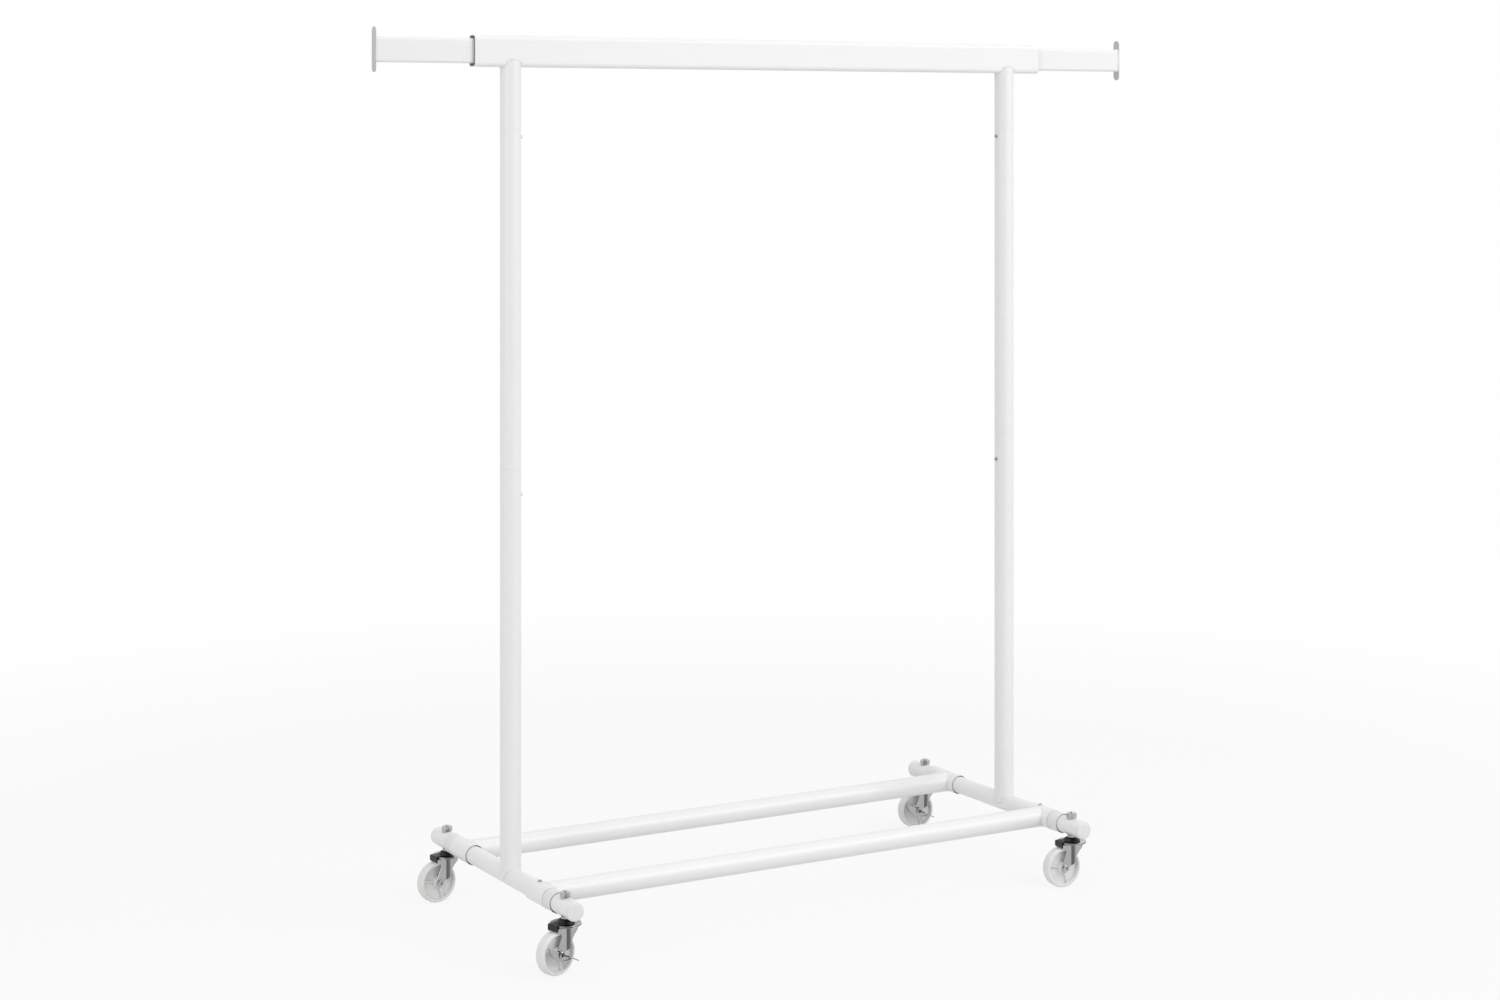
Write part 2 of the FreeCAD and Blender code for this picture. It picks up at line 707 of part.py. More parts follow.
def axle_pin(end, side):
    """Tubular rivet through both legs; its rolled head reaches past the brake lever."""
    near = "fork_width / 2"
    if (end, side) in BRAKED:
        near += " + lever_room"
    far, shank = "fork_width / 2", "axle_diameter / 2"
    pin = turned(f"axle_{end}_{side}", [
        ("0", f"- {far} - 2.2"), ("4.6", f"- {far} - 2.2"), ("6.2", f"- {far} - 1.2"),
        ("6.6", f"- {far}"), (shank, f"- {far}"), (shank, near), ("6.6", near),
        ("6.4", f"{near} + 1.4"), ("5.2", f"{near} + 2.4"), ("4.1", f"{near} + 2.4"),
        ("3.4", f"{near} + 1.5"), ("3", f"{near} - 3"), ("0", f"{near} - 3")])
    return on_axle(pin, end, side)


def wheel(end, side):
    """Plastic wheel: crowned tread, a recess in each face, a hub, and three ribs per face."""
    body = new_body(f"wheel_{end}_{side}")
    sketch = new_sketch(body, "XZ_Plane")
    tread = "wheel_diameter / 2"
    half = "wheel_width / 2"
    bore = "axle_diameter / 2 + running_gap"
    hub = "wheel_width / 2 + 1"
    right = [(bore, hub), ("9.5", hub), ("10.5", f"{hub} - 1"), ("11", "3"),
             (f"{tread} - 6.6", "3"), (f"{tread} - 5.6", f"{half} - 0.6"),
             (f"{tread} - 5", half), (f"{tread} - 2.2", half), (f"{tread} - 0.6", f"{half} - 2"),
             (tread, f"{half} - 4.5")]
    left = [(radius, f"- ( {level} )") for radius, level in reversed(right)]
    polygon(sketch, right + left)
    revolve(body, sketch)
    ribs = new_sketch(body, "YZ_Plane")
    rib_half = f"{half} - 2"
    polygon(ribs, [("9.8", rib_half), ("9.8", f"- ( {rib_half} )"),
                   (f"{tread} - 6", f"- ( {rib_half} )"), (f"{tread} - 6", rib_half)])
    rib = pad(body, ribs, "2.4")
    pattern = body.newObject("PartDesign::PolarPattern", f"{body.Name}_ribs")
    pattern.Originals = [rib]
    pattern.Axis = (ribs, ["V_Axis"])
    pattern.Angle = 360
    pattern.Occurrences = 3
    body.Tip = pattern
    on_axle(body, end, side)
    spin = FreeCAD.Rotation(AXIS_Z, value("rib_turn"))
    body.Placement.Rotation = body.Placement.Rotation.multiply(spin)
    return body


def brake(end, side):
    """Side brake lever: a dished half-moon plate on the axle, with a pedal bent outwards."""
    rim = "brake_arc"
    body = turned(f"brake_{end}_{side}", [
        ("0", "-1"), (rim, "-1"), (rim, "2.5"), (f"{rim} - 1.8", "2.5"),
        (f"{rim} - 1.8", "1"), ("0", "1")])
    hub_x, hub_y = "brake_shift", "brake_sagitta - brake_arc - 2"
    chord = "- brake_arc + brake_sagitta"
    above = new_sketch(body, "XY_Plane")
    polygon(above, [(f"- 2 * {rim}", chord), (f"2 * {rim}", chord), (f"2 * {rim}", f"2 * {rim}"),
                    (f"- 2 * {rim}", f"2 * {rim}")])
    pad(body, above, "12", "Pocket")
    boss = new_sketch(body, "XY_Plane")
    circle(boss, "7.5", hub_x, hub_y)
    pad(body, boss, "2")
    pedal = new_sketch(body, "XY_Plane")
    polygon(pedal, [(f"{hub_x} + 7", f"{chord} - 2"), (f"{hub_x} + 31", f"{chord} - 2"),
                    (f"{hub_x} + 31", chord), (f"{hub_x} + 7", chord)])
    pedal.AttachmentOffset = FreeCAD.Placement(V(0, 0, 6), FreeCAD.Rotation())
    pad(body, pedal, "14")
    bore = new_sketch(body, "XY_Plane")
    circle(bore, "axle_diameter / 2 + running_gap", hub_x, hub_y)
    pad(body, bore, "12", "Pocket")
    tilt = FreeCAD.Rotation(AXIS_Z, value("brake_tilt"))
    turn = axle_turn(end, side).multiply(tilt)
    across = "- fork_width / 2 - lever_room / 2 - 0.1"
    axle = V(value(caster_x(end, side, "- trail", across)),
             value(caster_y(end, side, "- trail", across)), value("wheel_diameter / 2"))
    hub = V(value(hub_x), value(hub_y), 0)
    body.Placement = FreeCAD.Placement(axle - turn.multVec(hub), turn)
    return body


# ---------------------------------------------------------------- the whole rack
core = rail_core()
nodes = [rail_tube()]
nodes += [rail_bush(side) for side in SIDES]
nodes += [upper_post(side, core) for side in SIDES]
nodes += [middle_post(side) for side in SIDES]
nodes += [lower_post(side) for side in SIDES]
nodes += [post_spigots(), post_screws()]
nodes += [foot_tube(side) for side in SIDES]
nodes += [long_bar(end) for end in ENDS]
nodes += [sleeve(end, side) for end, side in CORNERS]
nodes += [sleeve_collars(), sleeve_screws()]
nodes += [foot_cap(end, side) for end, side in CORNERS]
nodes += [caster_washers(), caster_nuts()]
for side in SIDES:
    nodes += [arm(side), arm_guide(side), arm_stop(side)]
for end, side in CORNERS:
    nodes += [caster_stem(end, side), crown_plate(end, side), race_cover(end, side),
              fork(end, side), axle_pin(end, side), wheel(end, side)]
nodes += [brake(end, side) for end, side in BRAKED]
doc.recompute()

for obj in doc.Objects:
    if {"Invalid", "Error"} & set(obj.State):
        raise RuntimeError(f"{obj.Name} failed: {obj.State}")
for node in nodes:
    if node.Shape.isNull() or not node.Shape.isValid():
        raise RuntimeError(f"{node.Label} has no valid shape")

os.makedirs("parts", exist_ok=True)
for node in nodes:
    node.Shape.exportStep(f"parts/{node.Label}.step")
    print(f"{node.Label:28s} {len(node.Shape.Solids)} solid(s) {node.Shape.Volume / 1000:9.2f} cm3")
print(len(nodes), "nodes")
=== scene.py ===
# %% [markdown]
# # A white clothes rack on casters
# The rack is a frame of powder-coated steel tube: two posts, a hanging rail with a sliding arm
# in each end, two feet, two long bars, and four swivel casters of zinc-plated steel and nylon.
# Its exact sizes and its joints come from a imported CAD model.  Here that model is the fixed
# frame, and this lesson lays finer surfaces and finishes over it.

# %% Load the fixed frame
import json
import math

import bmesh
import bpy
import numpy as np
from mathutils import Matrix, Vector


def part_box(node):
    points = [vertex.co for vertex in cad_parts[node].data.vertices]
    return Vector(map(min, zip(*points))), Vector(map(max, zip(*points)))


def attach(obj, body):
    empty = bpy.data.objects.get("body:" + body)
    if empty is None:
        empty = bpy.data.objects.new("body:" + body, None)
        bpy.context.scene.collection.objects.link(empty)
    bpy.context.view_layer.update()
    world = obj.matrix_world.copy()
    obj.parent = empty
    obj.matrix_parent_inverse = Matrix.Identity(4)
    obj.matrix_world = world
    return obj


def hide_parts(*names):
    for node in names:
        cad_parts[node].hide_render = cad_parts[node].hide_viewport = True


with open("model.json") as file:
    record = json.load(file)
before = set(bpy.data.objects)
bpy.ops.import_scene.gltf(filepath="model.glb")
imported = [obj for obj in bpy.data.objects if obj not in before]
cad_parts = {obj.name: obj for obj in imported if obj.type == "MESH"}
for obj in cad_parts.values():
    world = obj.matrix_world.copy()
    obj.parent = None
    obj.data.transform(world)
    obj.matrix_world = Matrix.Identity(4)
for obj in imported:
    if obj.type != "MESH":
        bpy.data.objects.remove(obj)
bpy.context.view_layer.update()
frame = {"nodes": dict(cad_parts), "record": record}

# %% [markdown]
# ## Reading sizes from the frame
# Nothing below is placed by eye: every centre and every span is read from the CAD nodes.  The
# few numbers that a box cannot tell, such as a wall thickness, are written out once.

# %% Sizes
MM = 0.001
SIDES = {"left": -1, "right": 1}
ENDS = {"front": -1, "back": 1}
CORNERS = [(end, side) for end in ENDS for side in SIDES]
BRAKED = [("front", "left"), ("back", "right")]
WALL = 1.5 * MM
FRAME_BODY = "frame"


def span(node):
    """Lowest corner, highest corner, middle and size of a CAD node, as arrays."""
    low, high = (np.array(corner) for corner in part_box(node))
    return low, high, (low + high) / 2, high - low


RAIL_LOW, RAIL_HIGH, RAIL_MID, RAIL_SIZE = span("rail_tube")
POST_LOW, POST_HIGH, POST_MID, POST_SIZE = span("middle_post_right")
POST_X, POST_Y = POST_MID[:2]
POST_R, SEAM_LOW, SEAM_HIGH = POST_SIZE[0] / 2, POST_LOW[2], POST_HIGH[2]
FOOT_MID, FOOT_SIZE = span("foot_tube_right")[2:]
FOOT_Z, FOOT_R = FOOT_MID[2], FOOT_SIZE[2] / 2
print(f"posts {2000 * POST_X:.0f} mm apart, rail axis at {1000 * RAIL_MID[2]:.0f} mm")

# %% [markdown]
# ## Surfaces from arrays
# Each new piece is a grid of points worked out with numpy, and the mesh only joins the grid's
# neighbours with faces.  A grid can close on itself around its columns (a tube), along its
# rows (a ring), or both (a hollow tube with finished ends).  Rows that shrink to one point
# make a pole, and merging the doubles closes it.


# %% From a grid to a mesh
def grid_faces(rows, columns, ring):
    """Quads of a grid whose columns wrap round; its rows wrap too if it is a ring."""
    i, j = np.meshgrid(np.arange(rows if ring else rows - 1), np.arange(columns), indexing="ij")
    near, far = (j % columns), ((j + 1) % columns)
    below = ((i + 1) % rows) * columns
    return np.stack([i * columns + near, i * columns + far, below + far, below + near],
                    -1).reshape(-1, 4)


def patch(points, ring=False):
    """A grid of points with its faces."""
    rows, columns = points.shape[:2]
    return points.reshape(-1, 3), grid_faces(rows, columns, ring)


def bend_amount(mesh):
    """For each vertex, 1 minus the length of the mean of its faces' normals: 0 on a flat
    face, larger where the surface turns sharply."""
    face_normals = np.empty(len(mesh.polygons) * 3, np.float32)
    mesh.polygons.foreach_get("normal", face_normals)
    corners = np.empty(len(mesh.polygons), np.int32)
    mesh.polygons.foreach_get("loop_total", corners)
    vertex = np.empty(len(mesh.loops), np.int32)
    mesh.loops.foreach_get("vertex_index", vertex)
    normals = np.repeat(face_normals.reshape(-1, 3), corners, axis=0)
    total = np.zeros((len(mesh.vertices), 3))
    np.add.at(total, vertex, normals)
    count = np.maximum(np.bincount(vertex, minlength=len(mesh.vertices)), 1)
    return 1 - np.linalg.norm(total, axis=1) / count


def piece(name, patches, finish, body, replaces=(), crease=38):
    """Join patches into one closed mesh that rides on a body, with its normals outwards."""
    starts = np.cumsum([0] + [len(points) for points, _ in patches])
    points = np.concatenate([points for points, _ in patches])
    faces = np.concatenate([faces + start for (_, faces), start in zip(patches, starts)])
    mesh = bpy.data.meshes.new(name)
    mesh.from_pydata(points.tolist(), [], faces.tolist())
    work = bmesh.new()
    work.from_mesh(mesh)
    bmesh.ops.remove_doubles(work, verts=work.verts, dist=2e-6)
    bmesh.ops.dissolve_degenerate(work, edges=work.edges, dist=1e-7)
    bmesh.ops.recalc_face_normals(work, faces=work.faces)
    work.to_mesh(mesh)
    work.free()
    mesh.shade_smooth()
    mesh.set_sharp_from_angle(angle=math.radians(crease))
    edge = mesh.attributes.new("edge", "FLOAT", "POINT")
    edge.data.foreach_set("value", bend_amount(mesh).astype(np.float32))
    mesh.materials.append(finish)
    made = bpy.data.objects.new(name, mesh)
    bpy.context.scene.collection.objects.link(made)
    weighted = made.modifiers.new("flat_faces_lead", "WEIGHTED_NORMAL")
    weighted.keep_sharp = True
    weighted.weight = 90
    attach(made, body)
    if replaces:
        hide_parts(*replaces)
    print(f"{name:28s} {len(mesh.polygons):7d} faces")
    return made


# %% [markdown]
# Most tube ends are not razor sharp: the saw burr is broken and the paint rounds it further.
# So every outline goes through one softening step before it becomes a surface.


# %% Outlines
def soften(outline, radius, steps=4, closed=True):
    """Round an outline's corners.  Corner P becomes (1-t)^2 A + 2t(1-t) P + t^2 B, where A and
    B lie a radius before and after it, or less on a short side."""
    p = np.asarray(outline, float)
    radius = np.broadcast_to(np.asarray(radius, float).reshape(-1, 1), (len(p), 1))

    def toward(q):
        step = q - p
        length = np.linalg.norm(step, axis=1, keepdims=True)
        return p + step / np.maximum(length, 1e-12) * np.minimum(radius, 0.48 * length)

    a, b = toward(np.roll(p, 1, 0)), toward(np.roll(p, -1, 0))
    t = np.linspace(0, 1, steps + 1)[None, :, None]
    curve = (1 - t) ** 2 * a[:, None] + 2 * t * (1 - t) * p[:, None] + t ** 2 * b[:, None]
    if closed:
        return curve.reshape(-1, p.shape[1])
    return np.concatenate([p[:1], curve[1:-1].reshape(-1, p.shape[1]), p[-1:]])


def braced(outline, reach=3 * MM):
    """Add a point near each end of an outline's long sides, so that the shading and the wear
    of a rim stay by the rim."""
    rows = []
    for start, stop in zip(outline, np.roll(outline, -1, 0)):
        rows.append(start)
        share = reach / max(np.linalg.norm(stop - start), reach)
        if share < 0.25:
            rows += [start + (stop - start) * share, stop + (start - stop) * share]
    return np.array(rows)


def rounded_ring(half_a, half_b, corner, arc=8):
    """Rounded rectangle as core corners c and unit normals n: a ring at depth d inside it is
    c + (corner - d) n."""
    turn = np.linspace(0, np.pi / 2, arc + 1)
    angle = np.concatenate([turn + k * np.pi / 2 for k in range(4)])
    signs = np.repeat([[1, 1], [-1, 1], [-1, -1], [1, -1]], arc + 1, axis=0)
    return signs * [half_a - corner, half_b - corner], np.stack([np.cos(angle), np.sin(angle)], -1)


def bar(run, half_y, half_z, corner, centre):
    """Bar along X with a rounded rectangular section: row (x, depth, share) is the ring
    share * c + (corner - depth) n at that x."""
    core, normal = rounded_ring(half_y, half_z, corner)
    x, depth, share = (run[:, k, None, None] for k in range(3))
    yz = share * core + np.maximum(corner - depth, 0) * normal
    points = np.concatenate([np.broadcast_to(x, yz.shape[:2] + (1,)), yz], -1)
    return points + np.asarray(centre)


def tube_run(start, stop, wall, lip):
    """Closed lengthwise outline of a hollow bar: out along the wall and back inside it."""
    outline = [(start, 0, 1), (stop, 0, 1), (stop, wall, 1), (start, wall, 1)]
    return braced(soften(outline, lip))


def full_turn(steps):
    """Equal angles once round; the last step leads back to the first angle."""
    return np.linspace(0, 2 * np.pi, steps, endpoint=False)


def spun(r, z, a):
    """Points at radius r, height z and angle a: P = (r cos a, r sin a, z)."""
    return np.stack([r * np.cos(a), r * np.sin(a), z + 0 * a], -1)


def turned(profile, steps=64):
    """Surface of revolution: the profile's points (r, z) at every angle about Z."""
    return spun(profile[:, 0, None], profile[:, 1, None], full_turn(steps))


def set_up(points, origin, ahead=(1, 0, 0), up=(0, 0, 1)):
    """Carry points from a piece's own axes (ahead, up x ahead, up) to their place."""
    ahead, up = np.asarray(ahead, float), np.asarray(up, float)
    axes = np.stack([ahead, np.cross(up, ahead), up])
    return points @ axes + np.asarray(origin)


def round_tube(radius, wall, start, stop, lip, steps=96):
    """Hollow tube along Z with softened rims at both ends."""
    outline = [(radius, start), (radius, stop), (radius - wall, stop), (radius - wall, start)]
    return turned(braced(soften(outline, lip)), steps)


# %% [markdown]
# ## Materials as expressions
# A Blender material is a graph of nodes.  Wiring it by hand is slow to read, so one small class
# wraps a socket and lets Python's own signs add the Math nodes, and one method adds any other
# node.  The finishes further down then read like formulas.


# %% A socket that can be used in a formula
class Number:
    """A socket whose value takes part in sums and products."""

    def __init__(self, finish, socket):
        self.finish, self.socket = finish, socket

    def maths(self, operation, *values):
        wired = dict(enumerate(values))
        return self.finish.node("Math", {"operation": operation}, wired)["Value"]

    def __add__(self, other):
        return self.maths("ADD", self, other)

    def __sub__(self, other):
        return self.maths("SUBTRACT", self, other)

    def __rsub__(self, other):
        return self.maths("SUBTRACT", other, self)

    def __mul__(self, other):
        return self.maths("MULTIPLY", self, other)

    def clamped(self):
        return self.finish.node("Clamp", {}, {"Value": self})["Result"]

    __radd__, __rmul__ = __add__, __mul__


class Graph:
    """The nodes of a material or of the world."""

    def __init__(self, owner):
        owner.use_nodes = True
        self.tree = owner.node_tree
        self.tree.nodes.clear()

    def feed(self, node, values):
        for key, value in values.items():
            if isinstance(value, Number):
                self.tree.links.new(value.socket, node.inputs[key])
            else:
                node.inputs[key].default_value = value

    def node(self, kind, settings, values):
        """Add any node: its settings first, then what its sockets take."""
        made = self.tree.nodes.new("ShaderNode" + kind)
        for key, value in settings.items():
            setattr(made, key, value)
        self.feed(made, values)
        return {socket.name: Number(self, socket) for socket in made.outputs if socket.enabled}

    def seen_plainly(self):
        """1 for rays from the camera, off a glossy surface or through a clear one, else 0."""
        path = self.node("LightPath", {}, {})
        kinds = ("Is Camera Ray", "Is Glossy Ray", "Is Transmission Ray")
        return sum(path[kind] for kind in kinds).clamped()


class Finish(Graph):
    """A material under construction."""

    def __init__(self, name, **shader):
        self.material = bpy.data.materials.new(name)
        super().__init__(self.material)
        self.out = self.tree.nodes.new("ShaderNodeOutputMaterial")
        self.shader = self.tree.nodes.new("ShaderNodeBsdfPrincipled")
        self.tree.links.new(self.shader.outputs[0], self.out.inputs["Surface"])
        self.feed(self.shader, {key.replace("_", " "): v for key, v in shader.items()})
        self.place = self.node("TexCoord", {}, {})["Object"]

    def noise(self, scale, detail=2.0, where=None):
        """Cloudy pattern from 0 to 1, with about `scale` bumps to the metre."""
        values = {"Vector": where or self.place, "Scale": scale, "Detail": detail}
        return self.node("TexNoise", {}, values)["Fac"]

    def stretched(self, x, y, z):
        """The piece's own coordinates, squeezed or stretched along each axis."""
        return self.node("Mapping", {}, {"Vector": self.place, "Scale": (x, y, z)})["Vector"]

    def blend(self, factor, first, second):
        """Mix two colours."""
        colours = {0: factor, 6: first, 7: second}
        return self.node("Mix", {"data_type": "RGBA"}, colours)["Result"]

    def stored(self, name):
        """A number that the mesh keeps at each vertex; "edge" is high where it turns sharply."""
        return self.node("Attribute", {"attribute_name": name}, {})["Fac"]

    def finish(self, colour, roughness, height, depth):
        """Connect what varies over the surface; depth is the relief in metres."""
        bump = self.node("Bump", {}, {"Height": height, "Distance": depth, "Strength": 1.0})
        self.feed(self.shader, {"Base Color": colour, "Roughness": roughness,
                                "Normal": bump["Normal"]})
        print(f"{self.material.name:28s} {len(self.tree.nodes):7d} nodes")
        return self.material


def grey(level, warm=0.0):
    """An opaque near-grey colour; warm leans it from blue to yellow."""
    return (level * (1 + warm), level, level * (1 - warm), 1.0)


# %% [markdown]
# ## Powder coat
# The tubes wear white polyester powder, baked until it flows.  It never lies quite flat: a
# faint orange peel about a millimetre wide breaks up its highlight.  It is thinner on rims and
# weld beads, where it looks a little greyer.  A bump from fine noise gives the peel, slow noise
# shifts the colour by a hair, and the rims read the edge attribute.


# %% Powder coat
def powder_coat(name, tone, thin_tone, roughness, warm=0.0):
    coat = Finish(name, Coat_Weight=0.12, Coat_Roughness=0.18)
    peel = coat.noise(900, 2.0)
    cloud = coat.noise(7, 3.0)
    dust = coat.noise(160, 4.0)
    thin = (coat.stored("edge") * 9 * (dust + 0.35)).clamped()
    even = coat.blend(cloud, grey(tone * 0.985, warm), grey(tone * 1.015, warm))
    colour = coat.blend(thin, even, grey(thin_tone, warm))
    matt = roughness + 0.07 * (cloud - 0.5) + 0.10 * (dust - 0.5)
    return coat.finish(colour, matt, peel + 0.35 * dust, 0.00006)


WHITE_COAT = powder_coat("white_powder_coat", 0.86, 0.74, 0.36)
GREY_COAT = powder_coat("grey_stop_paint", 0.52, 0.40, 0.42)
SLID_COAT = powder_coat("slid_powder_coat", 0.85, 0.72, 0.33)

# %% [markdown]
# ## Bright zinc
# Caster forks, nuts and axles are pressed or turned steel with a bright zinc plate.  Pressing
# leaves faint drawn streaks, and plating clouds the shine in patches, so both the colour and
# the roughness wander.


# %% Metals
def plated(name, bright, dull, roughness, streak, painted_band_tone=None):
    metal = Finish(name, Metallic=1.0)
    cloud = metal.noise(55, 4.0)
    drawn = metal.noise(1.0, 3.0, metal.stretched(*streak))
    grain = metal.noise(2600, 2.0)
    tone = (0.55 * cloud + 0.45 * drawn).clamped()
    # Painted highlight, partly wear: the metal's sharp bends and rims are made brighter, as if
    # they caught the light.
    edge_wear_and_highlight = (metal.stored("edge") * 6).clamped()
    colour = metal.blend(tone, grey(dull, -0.012), grey(bright, -0.006))
    colour = metal.blend(edge_wear_and_highlight, colour, grey(min(1.0, bright * 1.5)))
    # Painted reflection: where the mesh's stored band mask is high, the colour turns nearly black.
    # It stands in for the dark surroundings that the fork's slanted wall mirrors.
    if painted_band_tone is not None:
        colour = metal.blend(metal.stored("stretch"), colour, grey(painted_band_tone))
    matt = roughness + 0.16 * (cloud - 0.5) + 0.10 * (drawn - 0.5)
    return metal.finish(colour, matt, grain * 0.5 + drawn, 0.00002)


ZINC = plated("bright_zinc", 0.52, 0.34, 0.22, (900, 900, 60))
# The fork's zinc carries that painted dark band. It is a painted reflection, not a darker plate.
FORK_ZINC_PAINTED_BAND = plated("drawn_zinc", 0.52, 0.34, 0.22, (900, 900, 60), painted_band_tone=0.06)
SCREW_STEEL = plated("screw_steel", 0.55, 0.36, 0.20, (1200, 1200, 1200))
BARE_STEEL = plated("bare_steel", 0.45, 0.30, 0.45, (700, 700, 50))

# %% [markdown]
# ## Plastics
# The wheels are natural nylon, milky and slightly see-through at thin ribs.  The end caps and
# collars are moulded plastic near the coat's white, and the race covers are black.


# %% Plastics
def moulded(name, tone, warm, roughness, grain_depth, **shader):
    plastic = Finish(name, **shader)
    cloud = plastic.noise(30, 3.0)
    grain = plastic.noise(1500, 3.0)
    scuff = plastic.noise(240, 5.0)
    # In plastics this edge mark is wear only: scuffed edges turn darker.
    edge_wear_and_highlight = (plastic.stored("edge") * 5 * scuff).clamped()
    colour = plastic.blend(cloud, grey(tone * 0.97, warm), grey(tone * 1.03, warm))
    colour = plastic.blend(edge_wear_and_highlight, colour, grey(tone * 0.86 + 0.01, warm))
    matt = roughness + 0.12 * (scuff - 0.5)
    return plastic.finish(colour, matt, grain + 0.6 * scuff, grain_depth)


NYLON = moulded("white_nylon", 0.80, 0.008, 0.38, 0.00004, Subsurface_Weight=0.25,
                Subsurface_Radius=(0.004, 0.004, 0.004), Subsurface_Scale=1.0)
WHITE_PLASTIC = moulded("white_plastic", 0.80, 0.003, 0.42, 0.00004)
DARK_PLASTIC = moulded("dark_plastic", 0.022, 0.0, 0.33, 0.00005)
BLACK_COAT = moulded("black_coat", 0.010, 0.0, 0.30, 0.00004, Specular_IOR_Level=0.3)

# %% [markdown]
# ## Finishes on the CAD nodes
# Nodes whose CAD shape is already right stay as they are.  Each takes the finish that its
# material slot names.

# %% Dress the CAD nodes
SLOT_FINISH = {
    "white_paint": WHITE_COAT, "grey_paint": GREY_COAT, "bare_steel": BARE_STEEL,
    "screw_steel": SCREW_STEEL, "bright_zinc": ZINC, "black_paint": BLACK_COAT,
    "white_plastic": WHITE_PLASTIC, "dark_plastic": DARK_PLASTIC, "white_nylon": NYLON,
}
for part in frame["record"]["subparts"]:
    for place in frame["nodes"][part["node"]].material_slots:
        place.material = SLOT_FINISH[part["material_slot"]]
print("CAD nodes dressed")

# %% [markdown]
# ## The hanging rail and its arms
# The rail is a flattened tube, 27 mm by 57 mm, with softly rounded corners.  Extruding a drawn
# outline would do, but a grid of rings gives the rounded rims at its mouths as well: each ring
# is the section at one place along the rail, and near a mouth the rings shrink by the depth of
# the rim.

# %% Rail
RAIL_CORNER, RAIL_LIP = 8 * MM, 0.6 * MM
rail_axis = (0, RAIL_MID[1], RAIL_MID[2])
rail_run = tube_run(RAIL_LOW[0], RAIL_HIGH[0], WALL, RAIL_LIP)
piece("rail", [patch(bar(rail_run, RAIL_SIZE[1] / 2, RAIL_SIZE[2] / 2, RAIL_CORNER, rail_axis),
                     ring=True)], WHITE_COAT, FRAME_BODY, ["rail_tube"])

# %% [markdown]
# An arm is a slimmer tube with a plate welded on its outer end, so hangers cannot slip off.
# The plate has round ends; its rim is slightly broken.  Around the arm runs a weld bead: a
# small circle carried along the arm's outline, swelling and shrinking a little where the torch
# paused.


# %% Beads and plates
def smoothed(path, passes):
    """A closed path with each point pulled to the mean of its neighbours, several times."""
    for _ in range(passes):
        path = (np.roll(path, 1, 0) + 2 * path + np.roll(path, -1, 0)) / 4
    return path


def evenly(path, count):
    """Points at equal steps along a closed path."""
    closed = np.concatenate([path, path[:1]])
    along = np.concatenate([[0], np.cumsum(np.linalg.norm(np.diff(closed, axis=0), axis=1))])
    where = np.linspace(0, along[-1], count, endpoint=False)
    return np.stack([np.interp(where, along, closed[:, k]) for k in range(3)], -1)


def bead(path, radius, count=240, rounds=10, passes=3):
    """Weld bead: about each point of a closed path lies a circle of radius
    R (1 + 0.10 |sin|), in the plane of the path's outward and binormal directions."""
    path = smoothed(evenly(path, count), passes)
    ahead = np.roll(path, -1, 0) - np.roll(path, 1, 0)
    ahead /= np.linalg.norm(ahead, axis=1, keepdims=True)
    outward = path - path.mean(0)
    outward -= np.sum(outward * ahead, 1, keepdims=True) * ahead
    outward /= np.linalg.norm(outward, axis=1, keepdims=True)
    side = np.cross(ahead, outward)
    length = np.linalg.norm(np.diff(path, axis=0), axis=1).sum()
    pauses = round(length / (2.6 * MM))
    swell = 1 + 0.10 * np.abs(np.sin(np.pi * pauses * np.arange(count) / count))
    a = full_turn(rounds)[None, :, None]
    circle = np.cos(a) * outward[:, None] + np.sin(a) * side[:, None]
    return path[:, None] + radius * swell[:, None, None] * circle


def plate_run(start, stop, corner, rim):
    """Lengthwise outline of a solid plate: it opens from a point, keeps its size, and closes."""
    body = soften([(start, 2 * rim, 1), (start, 0, 1), (stop, 0, 1), (stop, 2 * rim, 1)], rim,
                  closed=False)
    return np.concatenate([[(start, corner, 0)], body, [(stop, corner, 0)]])


# %% Arms and stop plates
ARM_CORNER, ARM_WELD = 5 * MM, 1.3 * MM
for side, way in SIDES.items():
    arm_low, arm_high, arm_mid, arm_size = span(f"arm_{side}")
    arm_axis = (0, arm_mid[1], arm_mid[2])
    arm_run = tube_run(arm_low[0], arm_high[0], WALL, 0.6 * MM)
    arm_skin = bar(arm_run, arm_size[1] / 2, arm_size[2] / 2, ARM_CORNER, arm_axis)
    core, normal = rounded_ring(arm_size[1] / 2, arm_size[2] / 2, ARM_CORNER)
    outer_end = arm_high[0] if way > 0 else arm_low[0]
    seam = np.column_stack([np.full(len(core), outer_end), core + ARM_CORNER * normal])
    weld = bead(seam + arm_axis, ARM_WELD, passes=1)
    piece(f"sliding_arm_{side}", [patch(arm_skin, ring=True), patch(weld, ring=True)],
          SLID_COAT, f"extension_{side}", [f"arm_{side}"])
    low, high, middle, size = span(f"arm_stop_{side}")
    corner = size[1] / 2 - 0.02 * MM
    plate = bar(plate_run(low[0], high[0], corner, 0.45 * MM), size[1] / 2, size[2] / 2, corner,
                (0, middle[1], middle[2]))
    piece(f"stop_plate_{side}", [patch(plate)], GREY_COAT, f"extension_{side}",
          [f"arm_stop_{side}"])

# %% [markdown]
# Each mouth of the rail holds a dark bush that guides the arm.  Its bore is the arm's section
# with a little room, and it opens at the mouth, so that the arm's weld fits in when the arm is
# pushed home.

# %% Guide bushes
SLIDE_GAP, BUSH_LEAD = 0.35 * MM, 1.6 * MM


def section(size, room, corner):
    """Rounded rectangle, with its sides `room` outside a piece's own: c + r n."""
    core, normal = rounded_ring(size[1] / 2 + room, size[2] / 2 + room, corner)
    return core + corner * normal


